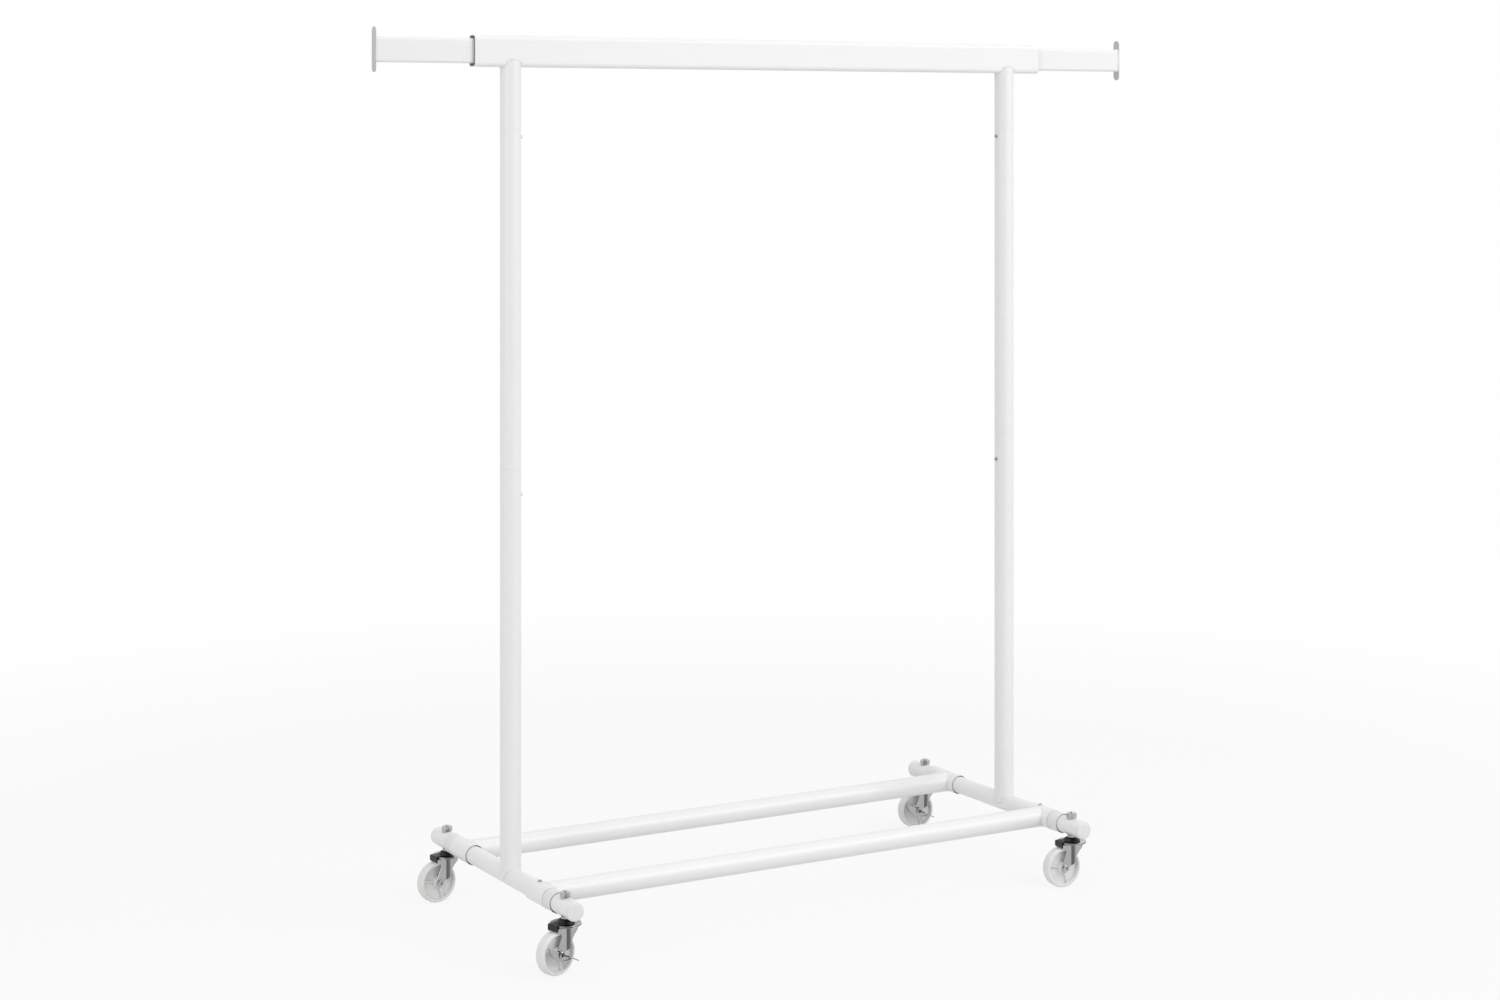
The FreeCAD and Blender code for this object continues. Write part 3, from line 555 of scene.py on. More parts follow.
for side, way in SIDES.items():
    middle, size = span(f"rail_bush_{side}")[2:]
    arm_size = span(f"arm_{side}")[3]
    outer = section(size, 0, RAIL_CORNER - WALL)
    bore = section(arm_size, SLIDE_GAP, ARM_CORNER + SLIDE_GAP)
    opened = section(arm_size, SLIDE_GAP + BUSH_LEAD, ARM_CORNER + SLIDE_GAP + BUSH_LEAD)
    half = size[0] / 2
    rings = [(-half, outer), (half, outer), (half, opened), (half - BUSH_LEAD, bore),
             (-half, bore)]
    points = np.array([np.column_stack([np.full(len(ring), way * x), ring]) for x, ring in rings])
    piece(f"guide_bush_{side}", [patch(points + middle, ring=True)], DARK_PLASTIC, FRAME_BODY,
          [f"rail_bush_{side}"])

# %% [markdown]
# ## Posts
# A post is three lengths of 38 mm tube.  Where two meet, the softened rims leave the hairline
# that the eye reads as a joint.  The top length is notched like a saddle: its front and back
# climb the sides of the rail and end in an arch.  The bottom length is notched round the foot
# tube.  Both notches are plain functions of the angle round the tube, so the grid's end rows
# simply follow them.


# %% Notches
SEAM_LIP = 0.55 * MM
SADDLE_RISE, SADDLE_BEND = 14 * MM, 22 * MM
around = full_turn(144)


def rail_notch(x, y):
    """Height where the post's wall ends, above the rail's bottom: under the rail it follows
    the rounded corner, b - sqrt(b^2 - d^2), and beside it the arch of radius SADDLE_BEND."""
    past = np.clip(np.abs(y) - (RAIL_SIZE[1] / 2 - RAIL_CORNER), 0, RAIL_CORNER)
    under = RAIL_CORNER - np.sqrt(RAIL_CORNER ** 2 - past ** 2)
    arch = SADDLE_RISE - SADDLE_BEND + np.sqrt(np.maximum(SADDLE_BEND ** 2 - x ** 2, 0))
    return np.where(np.abs(y) < RAIL_SIZE[1] / 2, under, arch)


def foot_notch(x):
    """Height where the post's wall ends, above the foot's axis: sqrt(r^2 - x^2)."""
    return np.sqrt(np.maximum(FOOT_R ** 2 - x ** 2, 0))


def top_length(post_x):
    """Rows up the outside, in over the rim to the rail's face, and down the bore."""
    cos, sin = np.cos(around), np.sin(around)
    x, y = POST_R * cos, POST_R * sin
    end = RAIL_LOW[2] + rail_notch(x, y)
    hem = RAIL_SIZE[1] / 2 - 0.3 * MM
    rows = [np.stack([x, y, end - 3 * MM], -1), np.stack([x, y, end], -1)]
    for t in np.linspace(0.2, 1, 5):
        inner_y = np.sign(y) * (np.abs(y) - np.maximum(np.abs(y) - hem, 0) * t)
        rows.append(np.stack([x, inner_y, end + 1.3 * MM * math.sin(t * math.pi / 2)], -1))
    bore = POST_R - WALL
    level = np.full_like(cos, RAIL_LOW[2] - 1.0 * MM)
    rows.append(np.stack([bore * cos, bore * sin, level], -1))
    rim = soften([(bore, SEAM_HIGH + 3 * MM), (bore, SEAM_HIGH), (POST_R, SEAM_HIGH),
                  (POST_R, SEAM_HIGH + 3 * MM)], SEAM_LIP, closed=False)
    points = np.concatenate([np.array(rows), turned(rim, len(around))])
    return points + (post_x, POST_Y, 0)


def bottom_length(post_x):
    """Rim at the seam, and a lower end that follows the foot tube's back."""
    outline = soften([(POST_R, 0), (POST_R, SEAM_LOW), (POST_R - WALL, SEAM_LOW),
                      (POST_R - WALL, 0)], SEAM_LIP)
    points = turned(braced(outline), len(around))
    low_end = points[..., 2] < SEAM_LOW / 2
    points[..., 2] += np.where(low_end, FOOT_Z + foot_notch(points[..., 0]), 0)
    return points + (post_x, POST_Y, 0)


# %% Posts, seams and welds
RAIL_WELD, FOOT_WELD = 1.4 * MM, 1.9 * MM
for side, way in SIDES.items():
    post_x = way * POST_X
    x, y = POST_R * np.cos(around), POST_R * np.sin(around)
    beside = np.clip(y, -RAIL_SIZE[1] / 2 - RAIL_WELD / 2, RAIL_SIZE[1] / 2 + RAIL_WELD / 2)
    saddle = np.column_stack([x, beside, RAIL_LOW[2] + rail_notch(x, y)]) + (post_x, POST_Y, 0)
    piece(f"post_top_{side}", [patch(top_length(post_x), ring=True),
                               patch(bead(saddle, RAIL_WELD), ring=True)],
          WHITE_COAT, FRAME_BODY, [f"upper_post_{side}"])
    middle_length = round_tube(POST_R, WALL, SEAM_LOW, SEAM_HIGH, SEAM_LIP, len(around))
    piece(f"post_middle_{side}", [patch(middle_length + (post_x, POST_Y, 0), ring=True)],
          WHITE_COAT, FRAME_BODY, [f"middle_post_{side}"])
    beside = np.clip(x, -FOOT_R, FOOT_R)
    seat = np.column_stack([beside, y, FOOT_Z + foot_notch(beside)]) + (post_x, POST_Y, 0)
    piece(f"post_bottom_{side}", [patch(bottom_length(post_x), ring=True),
                                  patch(bead(seat, FOOT_WELD), ring=True)],
          WHITE_COAT, FRAME_BODY, [f"lower_post_{side}"])

# %% [markdown]
# ## Feet, long bars and sleeves
# Each foot is a 33 mm tube.  A sleeve, welded across each end of the long bars, slides over it,
# lined with a plastic collar.  Sleeve and bar are the same width, so the bar's end is cut like
# a fish's mouth: at angle a round the bar its wall stops at sqrt(R^2 - z^2) from the sleeve's
# axis.  The sleeve's mouths flare slightly and the collar is bored wider at its end, which
# gives the dark lines round the foot there.

# %% Feet
Y_AXIS = dict(up=(0, 1, 0))
for side in SIDES:
    middle, size = span(f"foot_tube_{side}")[2:]
    tube = round_tube(FOOT_R, WALL, -size[1] / 2, size[1] / 2, 0.3 * MM, 128)
    piece(f"foot_{side}", [patch(set_up(tube, middle, **Y_AXIS), ring=True)], WHITE_COAT,
          FRAME_BODY, [f"foot_tube_{side}"])

# %% Long bars with their fish-mouth ends
BAR_WELD = 1.5 * MM
sleeve_r = span("sleeve_front_left")[3][2] / 2


def fish_mouth(z):
    """Distance from the rack's middle to a sleeve, at height z: X - sqrt(R^2 - z^2)."""
    return POST_X - np.sqrt(np.maximum(sleeve_r ** 2 - z ** 2, 0))


def bar_points(bar_r, bar_y, sunk=0.3 * MM):
    """Tube along X: its end rows follow the fish mouth, sunk a little into the sleeve, and
    each has a second row a little short of it."""
    ends = [(-1, 0), (-1, 3 * MM), (1, 3 * MM), (1, 0)]
    outline = np.array([(*row, bar_r) for row in ends]
                       + [(*row, bar_r - WALL) for row in ends[::-1]])
    way, short, r = (outline[:, k, None] for k in range(3))
    y, z = r * np.cos(around), r * np.sin(around)
    x = way * (fish_mouth(z) + sunk - short)
    return np.stack([x, bar_y + y, FOOT_Z + z], -1)


for end in ENDS:
    middle, size = span(f"{end}_bar")[2:]
    bar_r = size[2] / 2
    y, z = bar_r * np.cos(around), bar_r * np.sin(around)
    mouths = [np.column_stack([way * fish_mouth(z), middle[1] + y, FOOT_Z + z])
              for way in SIDES.values()]
    piece(f"long_bar_{end}", [patch(bar_points(bar_r, middle[1]), ring=True)]
          + [patch(bead(mouth, BAR_WELD, passes=8), ring=True) for mouth in mouths],
          WHITE_COAT, FRAME_BODY, [f"{end}_bar"])

# %% Sleeves
FLARE_LENGTH, MOUTH_RIM = 5 * MM, 0.7 * MM
for end, side in CORNERS:
    middle, size = span(f"sleeve_{end}_{side}")[2:]
    half = size[1] / 2
    bore, mouth = sleeve_r - WALL, sleeve_r - MOUTH_RIM
    outline = [(sleeve_r, -half), (sleeve_r, half), (mouth, half), (bore, half - FLARE_LENGTH),
               (bore, -half + FLARE_LENGTH), (mouth, -half)]
    tube = turned(braced(soften(outline, 0.35 * MM)), 128)
    piece(f"bar_sleeve_{end}_{side}", [patch(set_up(tube, middle, **Y_AXIS), ring=True)],
          WHITE_COAT, FRAME_BODY, [f"sleeve_{end}_{side}"])

# %% [markdown]
# A plastic collar sits in each sleeve's outer mouth and hugs the foot, and a cap closes each end
# of a foot: a low dome as wide as the tube, with a hollow plug inside it.  Both are turned once
# and then set at their four places, facing outwards.

# %% Collars and end caps
COLLAR_LENGTH, COLLAR_BORED, GROOVE, LINER = 30 * MM, 10 * MM, 0.8 * MM, 14 * MM
CAP_HIGH, CAP_FLOOR, CAP_GAP, PLUG_LENGTH = 5 * MM, 2 * MM, 0.15 * MM, 16 * MM
rim, inner, liner = sleeve_r - 0.4 * MM, FOOT_R + 0.05 * MM, sleeve_r - WALL - 0.05 * MM
collar = [(inner, -LINER), (liner, -LINER), (liner, GROOVE), (rim, GROOVE),
          (rim, COLLAR_LENGTH), (rim - MOUTH_RIM, COLLAR_LENGTH),
          (rim - 1.1 * MM, COLLAR_LENGTH - COLLAR_BORED),
          (inner, COLLAR_LENGTH - COLLAR_BORED - 0.5 * MM)]
plug, hollow = FOOT_R - WALL - 0.1 * MM, FOOT_R - WALL - 2 * MM
cap = [(0, CAP_HIGH), (FOOT_R - CAP_HIGH, CAP_HIGH), (FOOT_R - 1.2 * MM, 4.1 * MM),
       (FOOT_R, 1.6 * MM), (FOOT_R, CAP_GAP), (plug, CAP_GAP), (plug, -PLUG_LENGTH),
       (hollow, -PLUG_LENGTH), (hollow, -CAP_FLOOR), (0, -CAP_FLOOR)]
collar = turned(braced(soften(collar, 0.3 * MM)), 128)
cap = turned(soften(cap, 1.0 * MM, closed=False), 128)


def at_end(points, node, end):
    """Points set at a tube's front or back end, with their Z along the tube and outwards."""
    middle, size = span(node)[2:]
    way = ENDS[end]
    return set_up(points, middle + (0, way * size[1] / 2, 0), up=(0, way, 0))


piece("collars", [patch(at_end(collar, f"sleeve_{end}_{side}", end), ring=True)
                  for end, side in CORNERS],
      WHITE_PLASTIC, FRAME_BODY, ["sleeve_collars"])
for end, side in CORNERS:
    piece(f"end_cap_{end}_{side}", [patch(at_end(cap, f"foot_tube_{side}", end))],
          WHITE_PLASTIC, FRAME_BODY, [f"foot_cap_{end}_{side}"])

# %% [markdown]
# ## Casters
# A caster turns about its stem, and its wheel about the axle behind it.  The frame's record
# gives each axle's place and direction, so the new pieces are made once in the caster's own
# axes (ahead, up, and out along the axle) and then carried to each of the four.

# %% Where each caster stands
JOINTS = {joint["name"]: joint for joint in frame["record"]["behaviour"]["joints"]}
FORK_HALF = 14 * MM


def axle_place(end, side):
    """Middle of the axle, the way ahead, and the way out along the axle to the near leg."""
    joint = JOINTS[f"roll_{end}_{side}"]
    across = np.array(joint["axis"], float)
    return np.array(joint["pos_m"]), np.array([across[1], -across[0], 0]), -across


def stem_place(end, side):
    """Foot of the stem's axis, and the way ahead."""
    joint = JOINTS[f"swivel_{end}_{side}"]
    return np.array([*joint["pos_m"][:2], 0]), axle_place(end, side)[1]


def mirrored(half):
    """A closed outline from its upper half: the lower half is the same with z negated."""
    half = np.asarray(half, float)
    return np.concatenate([half, half[::-1] * (1, -1)])


def softened_mm(points, radius, **how):
    """A softened outline from points and a radius in millimetres."""
    return soften(np.array(points) * MM, radius * MM, **how)


# %% [markdown]
# A wheel is one moulding: a crowned tread, a dish on each side, a hub, and three ribs to a
# side.  Turning a profile gives all but the ribs.  Those are thin bars that run from the hub
# into the rim.

# %% Wheels
WHEEL_PROFILE = [(37.5, 4), (37.3, 6.6), (36.6, 8.8), (35.3, 10.5), (32.5, 10.5), (31.9, 9.9),
                 (30.9, 3), (11, 3), (10.5, 10.8), (9.6, 11.5), (4.05, 11.5)]
RIB_ANGLES, RIB_CORNER = [47, 167, 287], 0.6 * MM
tread = turned(softened_mm(mirrored(WHEEL_PROFILE), 0.7, steps=3), 160)
rib = bar(plate_run(10 * MM, 31.6 * MM, RIB_CORNER, 0.2 * MM), 1.2 * MM, 8.5 * MM, RIB_CORNER,
          (0, 0, 0))
for end, side in CORNERS:
    middle, ahead, out = axle_place(end, side)
    shapes = [patch(set_up(tread, middle, ahead, out), ring=True)]
    for angle in np.radians(RIB_ANGLES):
        turn = np.array([[np.cos(angle), np.sin(angle), 0], [-np.sin(angle), np.cos(angle), 0],
                         [0, 0, 1]])
        shapes.append(patch(set_up(rib @ turn, middle, ahead, out)))
    piece(f"caster_wheel_{end}_{side}", shapes, NYLON, f"roller_{end}_{side}",
          [f"wheel_{end}_{side}"])

# %% [markdown]
# The axle is a tubular rivet.  Its near end is rolled over into a bright ring round a dark
# hole, and its far end is a plain head.  A brake lever under the ring moves it outwards.

# %% Axles
LEVER_THICK = 3.6 * MM
HEAD = np.array([(0, -2.2), (4.6, -2.2), (6.2, -1.2), (6.6, 0), (4, 0)]) * MM
ROLLED = np.array([(4, 0), (6.6, 0), (6.4, 1.4), (5.2, 2.4), (4.1, 2.4), (3.4, 1.5), (3, -11),
                   (0, -11)]) * MM
for end, side in CORNERS:
    middle, ahead, out = axle_place(end, side)
    near = FORK_HALF + (LEVER_THICK if (end, side) in BRAKED else 0)
    outline = np.concatenate([HEAD - (0, FORK_HALF), ROLLED + (0, near)])
    pin = turned(soften(outline, 0.6 * MM, closed=False), 48)
    piece(f"axle_rivet_{end}_{side}", [patch(set_up(pin, middle, ahead, out))], SCREW_STEEL,
          f"caster_{end}_{side}", [f"axle_{end}_{side}"])

# %% [markdown]
# The fork is one stamping.  Each leg is a sheet that runs, at height z, from rear(z) to
# front(z), and lies plan(x) from the middle: straight beside the wheel and bulged under the
# crown.  Where the bulge begins, each vertex also stores a band mask, and the zinc there is
# painted nearly black: a painted reflection of dark surroundings on the slanted wall.

# %% Forks
FORK_TOP, CROWN_LOW, SHOULDER, BROKEN = 81.5, 79.5, 1.8, 0.35
LOBE_Z, LOBE_X, LOBE_R = 37.4, -23.0, 8.5
quarter = np.linspace(0, math.pi / 2, 12)
lobe_z, lobe_x = LOBE_Z - LOBE_R * np.cos(quarter), LOBE_R * np.sin(quarter)


def track(points, radius=0.0):
    """A function that follows points (key, value), rounded by radius, in millimetres."""
    line = np.array(points, float)
    line = soften(line, radius, closed=False) if radius else line
    return lambda key: np.interp(key, line[:, 0], line[:, 1])


REAR = track([*zip(lobe_z, LOBE_X - lobe_x), (39.5, -31.5), (68.5, -20.5), (72.7, -20.5),
              (73.0, -24.6), (73.6, -26.6), (74.6, -27.6), (76.5, -28), (81.5, -28)])
FRONT = track([*zip(lobe_z, LOBE_X + lobe_x), (38.5, -13.5), (45, -5.5), (60.5, -0.3),
               (68, 5), (81.5, 18.5)])
PLAN_OUT = track([(-40, 14), (-10, 14), (-5, 19), (12, 19), (21, 10)], 2.5)
PLAN_IN = track([(-40, 12), (-9.2, 12), (-4.2, 17), (11.2, 17), (20, 8.2)], 2.5)


def leg_points():
    """Closed rings at rising heights z: out along the outer face from rear(z) to front(z), over
    the sheet's edge, and back along the inner face.  The columns keep their x, close together
    at the bends, and stop at the sheet's edge.  At the top the outer face tucks in by
    s - sqrt(s^2 - rise^2).  The first and last rings close on the sheet's middle."""
    shoulder_z = FORK_TOP - SHOULDER + SHOULDER * np.sin(np.linspace(0, math.pi / 2, 7))
    level = np.unique(np.concatenate([lobe_z, np.linspace(38, FORK_TOP - SHOULDER, 40),
                                      [68.5, 72.7, 73.0, 73.3, 73.6, 74.1, 74.6],
                                      shoulder_z]))[:, None]
    rear, front = REAR(level), FRONT(level)
    broken = np.minimum(BROKEN, (front - rear) / 3)
    columns = np.concatenate([np.linspace(-31.5, -13, 14), np.linspace(-12.5, -2, 22),
                              np.linspace(0, 9, 6), np.linspace(9.5, 14, 10), [16, 18.5]])
    x = np.clip(columns, rear + broken, front - broken)
    rise = np.maximum(level - (FORK_TOP - SHOULDER), 0)
    outer = PLAN_OUT(x) - SHOULDER + np.sqrt(np.maximum(SHOULDER ** 2 - rise ** 2, 0))
    inner = PLAN_IN(x)
    middle = (outer + inner) / 2
    slim = np.minimum(broken, (outer - inner)[:, [0, -1]] / 3)
    ring_x = np.hstack([x, front, front, x[:, ::-1], rear, rear])
    ring_y = np.hstack([outer, outer[:, -1:] - slim[:, 1:], inner[:, -1:] + slim[:, 1:],
                        inner[:, ::-1], inner[:, :1] + slim[:, :1], outer[:, :1] - slim[:, :1]])
    seam_x = np.hstack([x, x[:, [-1, -1]], x[:, ::-1], x[:, [0, 0]]])
    seam_y = np.hstack([middle, middle[:, [-1, -1]], middle[:, ::-1], middle[:, [0, 0]]])
    height = np.broadcast_to(level, ring_x.shape)
    rings = np.stack([ring_x, ring_y, height], -1)
    seams = np.stack([seam_x, seam_y, height], -1)
    return np.concatenate([seams[:1], rings, seams[-1:]]) * MM


def crown_points():
    """The fork's flat top: four-cornered rings across it, at places along x."""
    back = REAR(FORK_TOP)
    high_x = np.linspace(back, FRONT(FORK_TOP), 60)
    low_x = back + (high_x - back) * (FRONT(CROWN_LOW) - back) / (FRONT(FORK_TOP) - back)
    half = PLAN_OUT(high_x) - SHOULDER + 0.05
    corners = [(high_x, half, FORK_TOP), (high_x, -half, FORK_TOP),
               (low_x, -half, CROWN_LOW), (low_x, half, CROWN_LOW)]
    rows = np.stack([np.column_stack([x, y, np.full_like(x, z)]) for x, y, z in corners], 1)
    rear, front = rows[:1].mean(1, keepdims=True), rows[-1:].mean(1, keepdims=True)
    return np.concatenate([np.repeat(rear, 4, 1), rows, np.repeat(front, 4, 1)]) * MM


leg, crown = leg_points(), crown_points()
for end, side in CORNERS:
    foot, ahead = stem_place(end, side)
    fork = piece(f"pressed_fork_{end}_{side}",
                 [patch(set_up(shape, foot, ahead)) for shape in (leg, leg * (1, -1, 1), crown)],
                 FORK_ZINC_PAINTED_BAND, f"caster_{end}_{side}", [f"fork_{end}_{side}"],
                 crease=32)
    points = np.empty(len(fork.data.vertices) * 3, np.float32)
    fork.data.vertices.foreach_get("co", points)
    local_x = (points.reshape(-1, 3) - foot) @ ahead / MM
    # Painted reflection: these values are a band mask over the slanted wall where the bulge
    # begins, and the fork's zinc paints that band dark.
    stretched = np.interp(local_x, [-11, -9.6, -6, -2.5], [0, 0.85, 0.75, 0])
    painted_band = fork.data.attributes.new("stretch", "FLOAT", "POINT")
    painted_band.data.foreach_set("value", stretched.astype(np.float32))

# %% [markdown]
# On top of the fork sits the race: two pressed flanges with a groove between, and over them a
# dark dome that keeps the dust out.  From the dome the cover's tongue runs back and turns down
# behind the wheel.  It is made as wide as the gap between the legs, so its black also stands in
# for the shade inside the fork's rear: partly a real part, partly painted shade.  The tongue is a
# strip carried along a bent path.


# %% Races and covers
def strip(path, half_width, half_thick, corner):
    """Rounded strip along a path (x, z): each ring lies across it, in Y and the path's normal,
    and the first and last close to a point."""
    path = np.asarray(path, float)
    ahead = np.gradient(path, axis=0)
    ahead /= np.linalg.norm(ahead, axis=1, keepdims=True)
    core, normal = rounded_ring(half_width, half_thick, corner, 4)
    rows = []
    for k, depth, share in [(0, corner, 0), (0, 0, 1), *((k, 0, 1) for k in range(1, len(path))),
                            (-1, corner, 0)]:
        ring = share * (core + (corner - depth) * normal)
        level = np.array([-ahead[k, 1], 0, ahead[k, 0]])
        rows.append(np.array([path[k, 0], 0, path[k, 1]]) + ring[:, :1] * (0, 1, 0)
                    + ring[:, 1:] * level)
    return np.array(rows)


RACE_PROFILE = [(5.4, 81.5), (27.2, 81.5), (28, 82.1), (28, 82.6), (27.2, 83.1), (26.2, 83.1),
                (26.2, 83.5), (27, 83.5), (27.7, 84), (27.7, 84.5), (27, 85), (21, 84.8),
                (19, 83.8), (5.4, 83.8)]
DOME_PROFILE = [(5.05, 83.8), (16.5, 83.8), (16.5, 86), (14.8, 88.4), (11.5, 91.3), (9, 92),
                (5.05, 92)]
SHADE_TONGUE = [(-9, 85.9), (-26, 85.9), (-29.3, 85.9), (-29.3, 82.6), (-29.3, 76.5)]
race = turned(softened_mm(RACE_PROFILE, 0.25), 144)
dome = turned(softened_mm(DOME_PROFILE, 1.2), 96)
shade_tongue = strip(softened_mm(SHADE_TONGUE, 2.2, closed=False), 12 * MM, 0.9 * MM, 0.4 * MM)
for end, side in CORNERS:
    foot, ahead = stem_place(end, side)
    piece(f"race_{end}_{side}", [patch(set_up(race, foot, ahead), ring=True)], ZINC,
          f"caster_{end}_{side}", [f"crown_plate_{end}_{side}"])
    # Painted shade: the wide black tongue fills the fork's rear, where there is only shade.
    piece(f"dust_cover_{end}_{side}", [patch(set_up(dome, foot, ahead), ring=True),
                                       patch(set_up(shade_tongue, foot, ahead))], BLACK_COAT,
          f"caster_{end}_{side}", [f"race_cover_{end}_{side}"])

# %% [markdown]
# Each stem is threaded where it stands out of its nut.  A thread is a helix: at angle a and
# height z the radius is r + d * tri(z / pitch - a / 2 pi), where tri is a triangle wave.  The
# nut is the smallest of a hexagon and two cones, which is what turning its corners off makes.


# %% Stems, nuts and washers
def triangle(phase):
    """Triangle wave from -1 to 1 with period 1."""
    return 4 * np.abs(phase - np.floor(phase + 0.5)) - 1


def threaded(low, high, radius, depth, pitch, steps=48):
    """Threaded rod from low to high along Z, with its top broken and both ends closed."""
    a = full_turn(steps)
    z = np.linspace(low, high, max(int((high - low) / (pitch / 8)), 8))[:, None]
    near_end = np.clip((high - z) / pitch, 0, 1)
    wave = triangle(z / pitch - a / (2 * np.pi))
    r = radius - (1 - near_end) * 2 * depth + near_end * depth * wave
    wall = spun(r, z, a)
    tip = [np.broadcast_to([0, 0, level], wall[0].shape) for level in (low, high)]
    return np.concatenate([tip[:1], wall, tip[1:]])


def hex_nut(low, high, across, bore, steps=144):
    """Hexagon nut: r(a, z) = min(hexagon(a), cone(z)), round a bore."""
    a = full_turn(steps)
    hexagon = across / 2 / np.cos((a + np.pi / 6) % (np.pi / 3) - np.pi / 6)
    z = np.array([low, low + 0.2 * MM, *np.linspace(low + 0.5 * MM, high - 1.3 * MM, 4),
                  *np.linspace(high - 1.1 * MM, high, 6)])[:, None]
    drop = np.maximum(z - (high - 0.4 * MM), 0) + np.maximum(low + 0.3 * MM - z, 0)
    cone = across / 2 + (high - z) * 1.73 + 0.15 * MM - 0.5 * drop
    wall = spun(np.minimum(hexagon, cone), z, a)
    inner = turned(np.array([(bore + 0.7 * MM, high), (bore, high - 0.6 * MM),
                             (bore, low + 0.3 * MM), (bore + 0.3 * MM, low)]), steps)
    return np.concatenate([wall, inner])


STEM_R, STEM_TOP, THREAD_LOW, THREAD_DEPTH = 5 * MM, 140.5 * MM, 136.2 * MM, 0.32 * MM
NUT_ACROSS, NUT_LOW, NUT_HIGH, PITCH = 17 * MM, 1.6 * MM, 9.6 * MM, 1.5 * MM
FOOT_TOP = FOOT_Z + FOOT_R
SHANK_PROFILE = [(0, 76.9), (5.5, 76.9), (8.5, 78.3), (8.5, 79.2), (5, 79.2), (5, 92.3),
                 (8, 92.3), (8, 95.4), (5, 95.4), (5, 136.5), (0, 136.5)]
WASHER_PROFILE = [(5.3, 0), (9.5, 0), (9.5, 1.6), (5.3, 1.6)]
shank = turned(softened_mm(SHANK_PROFILE, 0.3, closed=False), 64)
thread = threaded(THREAD_LOW, STEM_TOP, STEM_R - 0.35 * MM, THREAD_DEPTH, PITCH, 64)
washer = turned(softened_mm(WASHER_PROFILE, 0.3), 64)
nut = hex_nut(FOOT_TOP + NUT_LOW, FOOT_TOP + NUT_HIGH, NUT_ACROSS, STEM_R + 0.05 * MM)
washers, nuts = [], []
for end, side in CORNERS:
    foot, ahead = stem_place(end, side)
    piece(f"threaded_stem_{end}_{side}",
          [patch(set_up(shape, foot, ahead)) for shape in (shank, thread)], SCREW_STEEL,
          FRAME_BODY, [f"caster_stem_{end}_{side}"])
    washers.append(patch(set_up(washer, foot + (0, 0, FOOT_TOP), ahead), ring=True))
    nuts.append(patch(set_up(nut, foot, ahead), ring=True))
piece("washers", washers, SCREW_STEEL, FRAME_BODY, ["caster_washers"])
piece("hex_nuts", nuts, SCREW_STEEL, FRAME_BODY, ["caster_nuts"], crease=25)

# %% [markdown]
# ## Camera, floor and light
# A long lens looks level at the rack and is shifted down, so upright tubes stay parallel.
# The floor is pale and plain.  Near the rack it takes a soft shadow; further out it fades to
# the same white as the world behind it, so no horizon shows.  Big soft lamps light the coat
# without clipping it.

# %% Camera
CAMERA_TURN = math.radians(29.92)
lens = bpy.data.cameras.new("camera")
lens.lens, lens.sensor_width = 65.2, 36
lens.shift_y = -0.2477
lens.clip_end = 100
camera = bpy.data.objects.new("camera", lens)
camera.location = (-2.590, -4.454, 1.448)
camera.rotation_euler = (math.pi / 2, 0, -CAMERA_TURN)
bpy.context.scene.collection.objects.link(camera)
bpy.context.scene.camera = camera
print(f"camera {camera.location.z:.2f} m up, {lens.lens:.0f} mm lens")


# %% Floor and world
FLOOR_HALF, FADE_NEAR, FADE_FAR, NEAR_WHITE = 40.0, 1.6, 3.2, 0.86
floor_finish = Finish("pale_floor", Roughness=0.9, Specular_IOR_Level=0.0)
distance = floor_finish.node("VectorMath", {"operation": "LENGTH"},
                             {0: floor_finish.place})["Value"]
far_off = ((distance - FADE_NEAR) * (1 / (FADE_FAR - FADE_NEAR))).clamped()
whiteness = NEAR_WHITE + (1 - NEAR_WHITE) * far_off
mottle = floor_finish.noise(3, 4.0)
floor_finish.feed(floor_finish.shader, {
    "Base Color": floor_finish.blend(mottle, grey(0.74), grey(0.76))})
lit = Number(floor_finish, floor_finish.shader.outputs[0])
white = floor_finish.node("Emission", {}, {"Color": grey(1.0), "Strength": 1.0})["Emission"]
shown = floor_finish.node("MixShader", {}, {0: floor_finish.seen_plainly() * whiteness,
                                            1: lit, 2: white})["Shader"]
floor_finish.feed(floor_finish.out, {"Surface": shown})
corners = np.array([[-1, -1, 0], [1, -1, 0], [1, 1, 0], [-1, 1, 0]]) * FLOOR_HALF
floor_mesh = bpy.data.meshes.new("floor")
floor_mesh.from_pydata(corners.tolist(), [], [(0, 1, 2, 3)])
floor_mesh.materials.append(floor_finish.material)
floor = bpy.data.objects.new("floor", floor_mesh)
bpy.context.scene.collection.objects.link(floor)

WORLD_LIGHT, WORLD_WHITE = 0.55, 1.0
world = bpy.data.worlds.new("studio")
studio = Graph(world)
strength = WORLD_LIGHT + (WORLD_WHITE - WORLD_LIGHT) * studio.seen_plainly()
glow = studio.node("Background", {}, {"Color": grey(1.0), "Strength": strength})
studio.node("OutputWorld", {}, {"Surface": glow["Background"]})
bpy.context.scene.world = world


# %% Lamps
bpy.context.scene.view_settings.view_transform = "Standard"


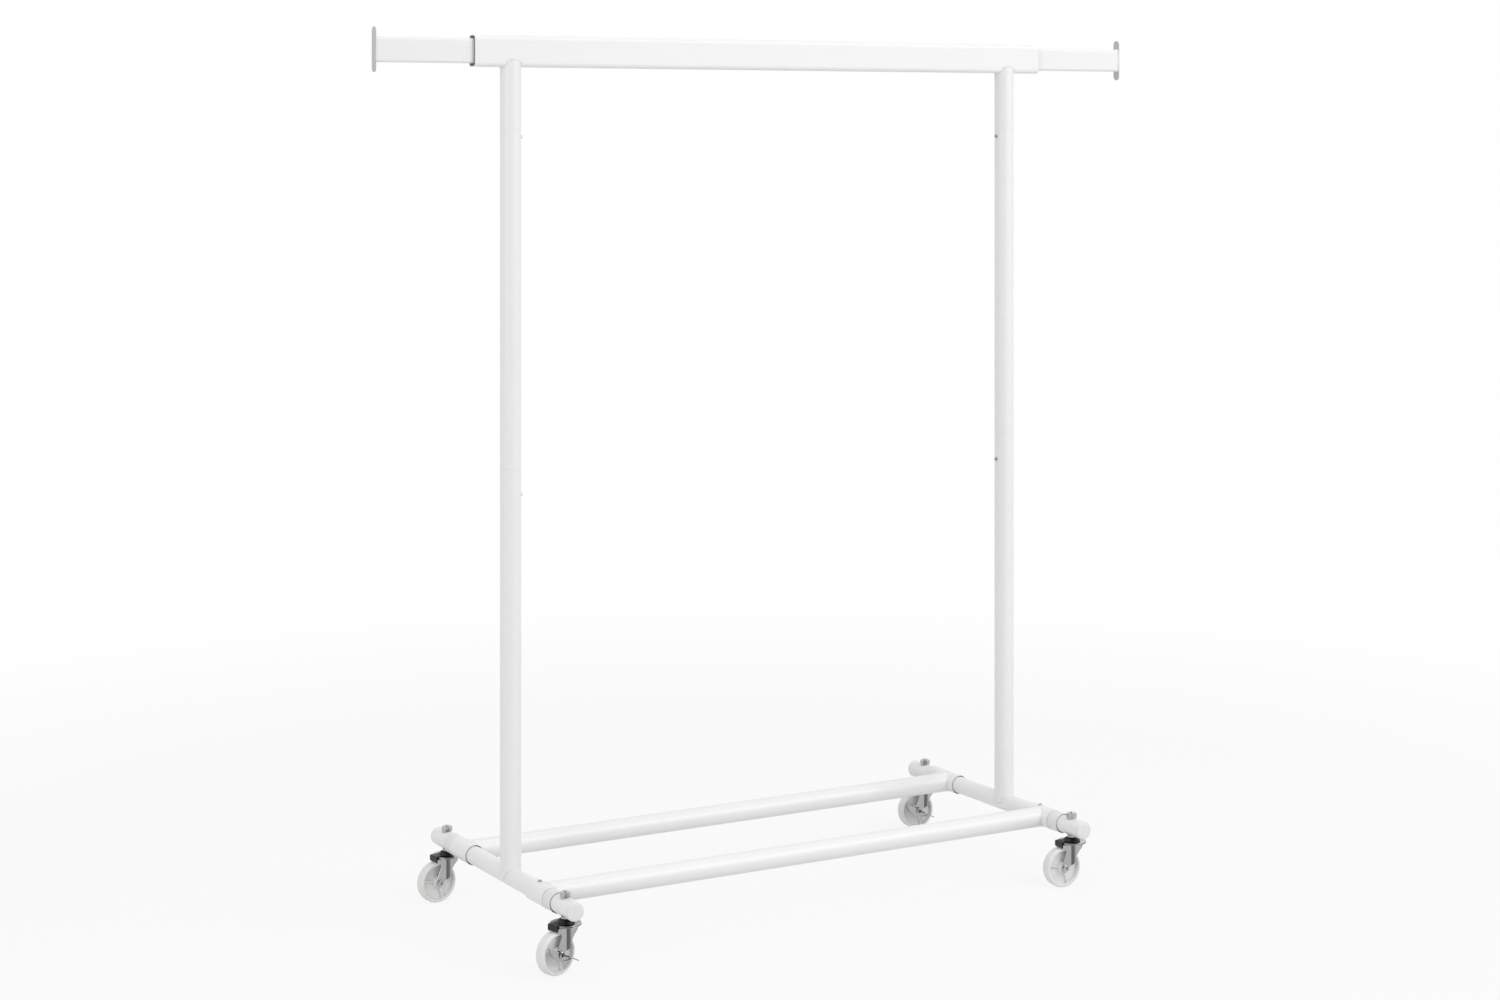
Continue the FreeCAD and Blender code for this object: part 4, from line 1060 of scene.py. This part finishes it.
def softbox(name, place, aim, wide, tall, power):
    """A rectangular lamp at a place, facing a point."""
    lamp = bpy.data.lights.new(name, "AREA")
    lamp.shape, lamp.size, lamp.size_y, lamp.energy = "RECTANGLE", wide, tall, power
    made = bpy.data.objects.new(name, lamp)
    made.location = place
    look = np.asarray(aim, float) - np.asarray(place, float)
    yaw = math.atan2(look[1], look[0]) - math.pi / 2
    pitch = math.atan2(look[2], math.hypot(look[0], look[1])) + math.pi / 2
    made.rotation_euler = (pitch, 0, yaw)
    bpy.context.scene.collection.objects.link(made)
    print(f"{name:28s} {power:7d} watts")


softbox("key", (2.8, -4.4, 3.6), (0, 0, 0.8), 3.6, 3.6, 132)
softbox("fill", (-4.4, -2.2, 2.2), (0, 0, 0.8), 3.0, 3.0, 58)
softbox("top", (0.4, 0.6, 5.2), (0, 0, 0), 6.0, 5.0, 52)

# %% [markdown]
# In an all-white room bright metal turns as white as paint.  Photographers stand black boards
# beside the lens for that: the metal mirrors them as dark bands, and its bends become visible.
# This board is seen by reflections alone, so it takes no light from the coat.

# %% Black board
board_finish = Finish("black_board", Roughness=1.0, Specular_IOR_Level=0.0)
felt = board_finish.noise(40)
board_finish.feed(board_finish.shader, {"Base Color": board_finish.blend(felt, grey(0.006),
                                                                         grey(0.012))})
BOARD_AWAY, BOARD_HALF, BOARD_TOP = 1.5, 1.1, 2.4
lens_way = np.array([-math.sin(CAMERA_TURN), -math.cos(CAMERA_TURN), 0])
beside = np.array([-lens_way[1], lens_way[0], 0])
middle = lens_way * BOARD_AWAY
board_mesh = bpy.data.meshes.new("black_board")
rim = [middle + way * BOARD_HALF * beside + (0, 0, level)
       for way, level in ((-1, 0.02), (1, 0.02), (1, BOARD_TOP), (-1, BOARD_TOP))]
board_mesh.from_pydata([tuple(corner) for corner in rim], [], [(0, 1, 2, 3)])
board_mesh.materials.append(board_finish.material)
board = bpy.data.objects.new("black_board", board_mesh)
for kind in ("camera", "diffuse", "transmission", "volume_scatter", "shadow"):
    setattr(board, f"visible_{kind}", False)
bpy.context.scene.collection.objects.link(board)
print(f"black board {BOARD_TOP} m high, {BOARD_AWAY} m from the middle")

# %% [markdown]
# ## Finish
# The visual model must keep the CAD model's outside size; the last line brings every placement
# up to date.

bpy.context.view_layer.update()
